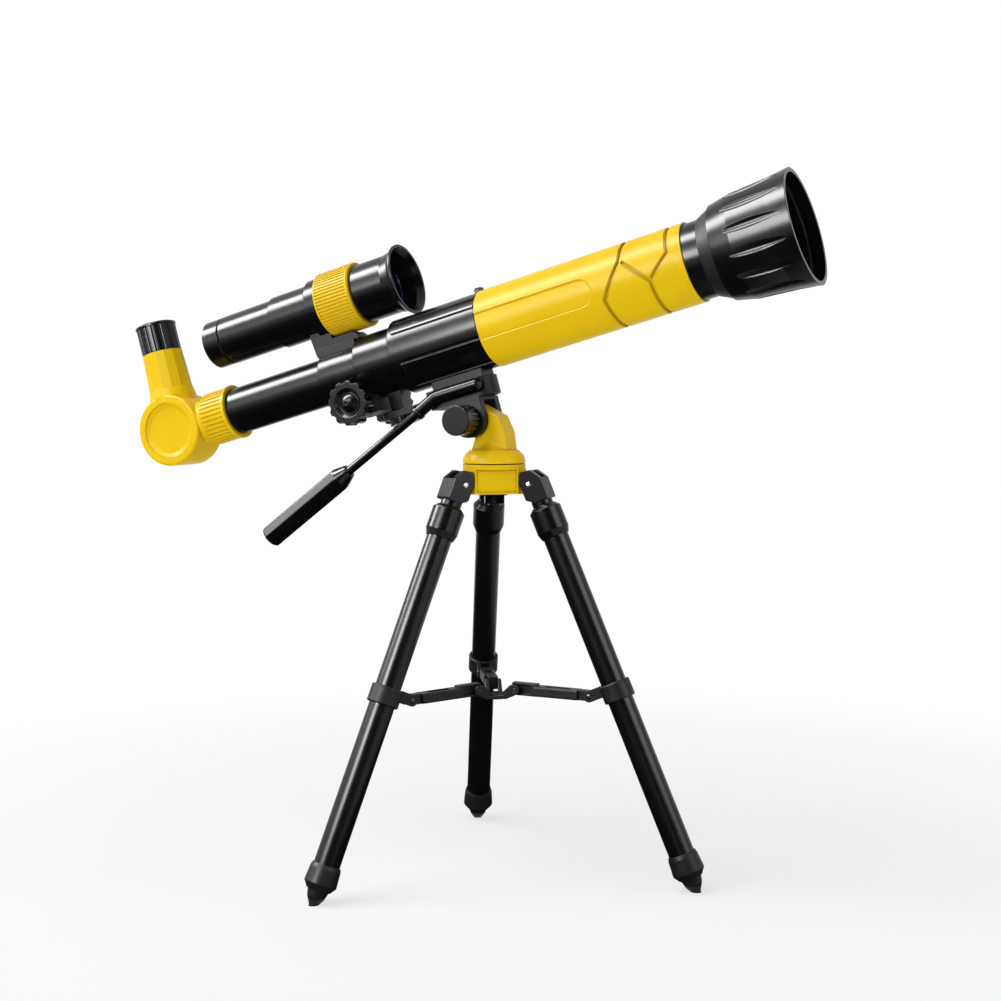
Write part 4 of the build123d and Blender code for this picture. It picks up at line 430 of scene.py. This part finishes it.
def add_rivets():
    """Domed heads on the ends of the leg and collar pins."""
    pivot = lathe(rivet_profile(PIVOT_RIVET_R, RIVET_RISE, RIVET_DEPTH), RIVET_STEPS)
    collar = lathe(rivet_profile(COLLAR_RIVET_R, RIVET_RISE, RIVET_DEPTH), RIVET_STEPS)
    for leg in ("front", "left", "right"):
        for end, side in (("r", -1.0), ("l", 1.0)):
            place = joint_place("leg_fold_" + leg, side * PIVOT_HALF) @ facing_side(side)
            add_piece(f"pivot_rivet_{leg}_{end}", *pivot, place, "steel", "hub")
            place = joint_place("arm_fold_" + leg, side * COLLAR_HALF) @ facing_side(side)
            add_piece(f"collar_rivet_{leg}_{end}", *collar, place, "dark_steel", "leg_" + leg)


def add_tube_lining():
    """Black lining with baffle rings inside the objective tube."""
    inner = LINING_R - LINING_WALL
    profile = [(LINING_REAR, LINING_R), (LINING_FRONT, LINING_R), (LINING_FRONT, inner)]
    for station in BAFFLES:
        profile.append((station + BAFFLE_THICK, inner))
        profile.append((station + BAFFLE_THICK / 2, BAFFLE_R))
        profile.append((station, inner))
    profile.append((LINING_REAR, inner))
    lining = lathe(profile, LINING_STEPS)
    add_piece("tube_lining", *lining, telescope_place(), "grey_black_plastic", "telescope")


def add_knob_screws():
    """Screw with a six-sided socket in the dome of each focus knob."""
    low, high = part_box("focus_knobs")

    def socket(turn, x):
        return 1.0 - SOCKET_FLAT * abs(math.sin(SOCKET_SIDES / 2 * turn)) if x < SOCKET_LEVEL else 1.0

    profile = [
        (-SCREW_SINK, SCREW_R * SCREW_BORE),
        (-SCREW_SINK, SCREW_R),
        (SCREW_RISE / 2, SCREW_R),
        (SCREW_RISE, SCREW_R * SCREW_SHOULDER),
        (SCREW_RISE, SCREW_R * SOCKET_MOUTH),
        (SCREW_RISE - SCREW_DEPTH, SCREW_R * SOCKET_FLOOR),
    ]
    screw = lathe(profile, SCREW_STEPS, socket)
    for end, side, reach in (("l", 1.0, high.y), ("r", -1.0, -low.y)):
        place = joint_place("focus_knob_turn", side * reach) @ facing_side(side)
        add_piece("focus_screw_" + end, *screw, place, "black_plastic", "focus_pinion")


def add_ferrule():
    """Ferrule on the lower end of the handle's socket, round the rod."""
    start, end = (Vector((t, HANDLE_Y, h)) for t, h in (HANDLE_STEP, HANDLE_GRIP_START))
    along = (end - start).normalized()
    turn = Vector((1.0, 0.0, 0.0)).rotation_difference(along).to_matrix().to_4x4()
    place = telescope_place() @ Matrix.Translation(start) @ turn
    profile = [
        (-FERRULE_LENGTH, FERRULE_BORE),
        (-FERRULE_LENGTH, FERRULE_R - FERRULE_EDGE),
        (-FERRULE_LENGTH + FERRULE_EDGE, FERRULE_R),
        (-FERRULE_EDGE, FERRULE_R),
        (0.0, FERRULE_R - FERRULE_EDGE),
        (0.0, FERRULE_BORE),
    ]
    add_piece("handle_ferrule", *lathe(profile, FERRULE_STEPS), place, "black_plastic", "telescope")


def add_eye_guard():
    """Soft rolled edge on the eyepiece's top."""
    place = telescope_place() @ Matrix.Translation((EYEPIECE_STATION, 0.0, EYEPIECE_TOP - GUARD_SINK))
    place = place @ Matrix.Rotation(-math.pi / 2, 4, "Y")
    turns = [2 * math.pi * k / GUARD_STEPS for k in range(GUARD_STEPS)]
    ring = [(GUARD_R * math.sin(turn), EYE_RIM_R + GUARD_R * math.cos(turn)) for turn in turns]
    add_piece("eye_guard", *lathe(ring, GUARD_TURNS), place, "black_rubber", "eyepiece")


# Camera and light

def aim(place, target, top):
    """Matrix of a lamp or card at a place, facing a target, with its top turned one way."""
    back = (Vector(place) - Vector(target)).normalized()
    side = Vector(top).cross(back).normalized()
    up = back.cross(side)
    turn = Matrix((side, up, back)).transposed().to_4x4()
    return Matrix.Translation(place) @ turn


def add_camera():
    """Camera that sees the object as the photograph does."""
    turn, dip, roll = (math.radians(v) for v in (CAMERA_TURN, CAMERA_DIP, CAMERA_ROLL))
    right = Vector((math.cos(turn), math.sin(turn), 0.0))
    away = Vector((-math.sin(turn), math.cos(turn), 0.0))
    ahead = away * math.cos(dip) - Vector((0.0, 0.0, math.sin(dip)))
    up = away * math.sin(dip) + Vector((0.0, 0.0, math.cos(dip)))
    side = right * math.cos(roll) + up * math.sin(roll)
    top = up * math.cos(roll) - right * math.sin(roll)
    data = bpy.data.cameras.new("camera")
    data.lens = CAMERA_LENS
    data.sensor_width = SENSOR
    data.sensor_fit = "HORIZONTAL"
    camera = bpy.data.objects.new("camera", data)
    turn_matrix = Matrix((side, top, -ahead)).transposed().to_4x4()
    camera.matrix_world = Matrix.Translation(CAMERA_PLACE) @ turn_matrix
    bpy.context.scene.collection.objects.link(camera)
    bpy.context.scene.camera = camera


def add_softbox(name, place, top, width, height, brightness):
    """Box of light that faces the object."""
    data = bpy.data.lights.new(name, "AREA")
    data.shape = "RECTANGLE"
    data.size = width
    data.size_y = height
    data.energy = math.pi * width * height * brightness
    lamp = bpy.data.objects.new(name, data)
    lamp.matrix_world = aim(place, LIT_POINT, top)
    bpy.context.scene.collection.objects.link(lamp)
    return lamp


def seen_white(tree, plain):
    """White where the camera, a reflection or glass sees it, and a plain shade for the rest."""
    path = tree.nodes.new("ShaderNodeLightPath")
    seen = path.outputs["Is Camera Ray"]
    for ray in ("Is Glossy Ray", "Is Transmission Ray"):
        both = tree.nodes.new("ShaderNodeMath")
        both.operation = "MAXIMUM"
        tree.links.new(seen, both.inputs[0])
        tree.links.new(path.outputs[ray], both.inputs[1])
        seen = both.outputs["Value"]
    white = tree.nodes.new("ShaderNodeMapRange")
    white.inputs["To Min"].default_value = plain
    white.inputs["To Max"].default_value = 1.0
    tree.links.new(seen, white.inputs["Value"])
    return white.outputs["Result"]


def add_world():
    """White surroundings that light the object at a lower level."""
    world = bpy.data.worlds.new("studio")
    bpy.context.scene.world = world
    world.use_nodes = True
    tree = world.node_tree
    background = tree.nodes["Background"]
    background.inputs["Color"].default_value = WHITE
    tree.links.new(seen_white(tree, AMBIENT), background.inputs["Strength"])


def floor_material():
    """Pale floor round the feet, which runs out into the white background."""
    material, tree, shader = new_material("pale_floor")
    colour = ramp(tree, noise(tree, *FLOOR_CLOUD), FLOOR_DARK, FLOOR_LIGHT)
    tree.links.new(colour, shader.inputs["Base Color"])
    shader.inputs["Roughness"].default_value = PAPER_ROUGH
    shader.inputs["Specular IOR Level"].default_value = 0.0
    distance = tree.nodes.new("ShaderNodeVectorMath")
    distance.operation = "LENGTH"
    tree.links.new(tree.nodes.new("ShaderNodeTexCoord").outputs["Object"], distance.inputs[0])
    far = tree.nodes.new("ShaderNodeMapRange")
    far.interpolation_type = "SMOOTHSTEP"
    far.inputs["From Min"].default_value = FLOOR_NEAR
    far.inputs["From Max"].default_value = FLOOR_FAR
    far.inputs["To Min"].default_value = FLOOR_GLOW
    tree.links.new(distance.outputs["Value"], far.inputs["Value"])
    share = tree.nodes.new("ShaderNodeMath")
    share.operation = "MULTIPLY"
    tree.links.new(far.outputs["Result"], share.inputs[0])
    tree.links.new(seen_white(tree, 0.0), share.inputs[1])
    white = tree.nodes.new("ShaderNodeEmission")
    mix = tree.nodes.new("ShaderNodeMixShader")
    tree.links.new(share.outputs["Value"], mix.inputs["Fac"])
    tree.links.new(shader.outputs["BSDF"], mix.inputs[1])
    tree.links.new(white.outputs["Emission"], mix.inputs[2])
    tree.links.new(mix.outputs["Shader"], tree.nodes["Material Output"].inputs["Surface"])
    return material


def add_sheet(name, width, height, material):
    """Flat sheet round the middle of its own frame."""
    mesh = bpy.data.meshes.new(name)
    across, tall = width / 2, height / 2
    corners = [(-across, -tall, 0.0), (across, -tall, 0.0), (across, tall, 0.0), (-across, tall, 0.0)]
    mesh.from_pydata(corners, [], [(0, 1, 2, 3)])
    mesh.materials.append(material)
    sheet = bpy.data.objects.new(name, mesh)
    bpy.context.scene.collection.objects.link(sheet)
    return sheet


def add_floor():
    """Plain pale floor that keeps the object's shadow."""
    floor = add_sheet("floor", FLOOR_SIZE, FLOOR_SIZE, floor_material())


def card_material():
    """Dull black card."""
    material, tree, shader = new_material("dark_card")
    colour = ramp(tree, noise(tree, *CARD_CLOUD), CARD_DARK, CARD_LIGHT)
    tree.links.new(colour, shader.inputs["Base Color"])
    shader.inputs["Roughness"].default_value = PAPER_ROUGH
    shader.inputs["Specular IOR Level"].default_value = 0.0
    return material


def add_card(name, place, facing, top, width, height, material):
    """Dark card that shows in reflections only."""
    card = add_sheet(name, width, height, material)
    card.matrix_world = aim(place, facing, top)
    for ray in ("camera", "diffuse", "transmission", "shadow"):
        setattr(card, "visible_" + ray, False)


def add_studio():
    """Surroundings, floor, dark cards and lamps."""
    add_world()
    add_floor()
    dark = card_material()
    for card in CARDS:
        add_card(*card, dark)
    for box in SOFTBOXES:
        add_softbox(*box)
    add_softbox(*FILL).visible_glossy = False
    for box in HIGHLIGHTS:
        add_softbox(*box).visible_diffuse = False


dress_nodes()
add_rivets()
add_tube_lining()
add_knob_screws()
add_ferrule()
add_eye_guard()
add_camera()
add_studio()
bpy.context.scene.view_settings.view_transform = "Standard"
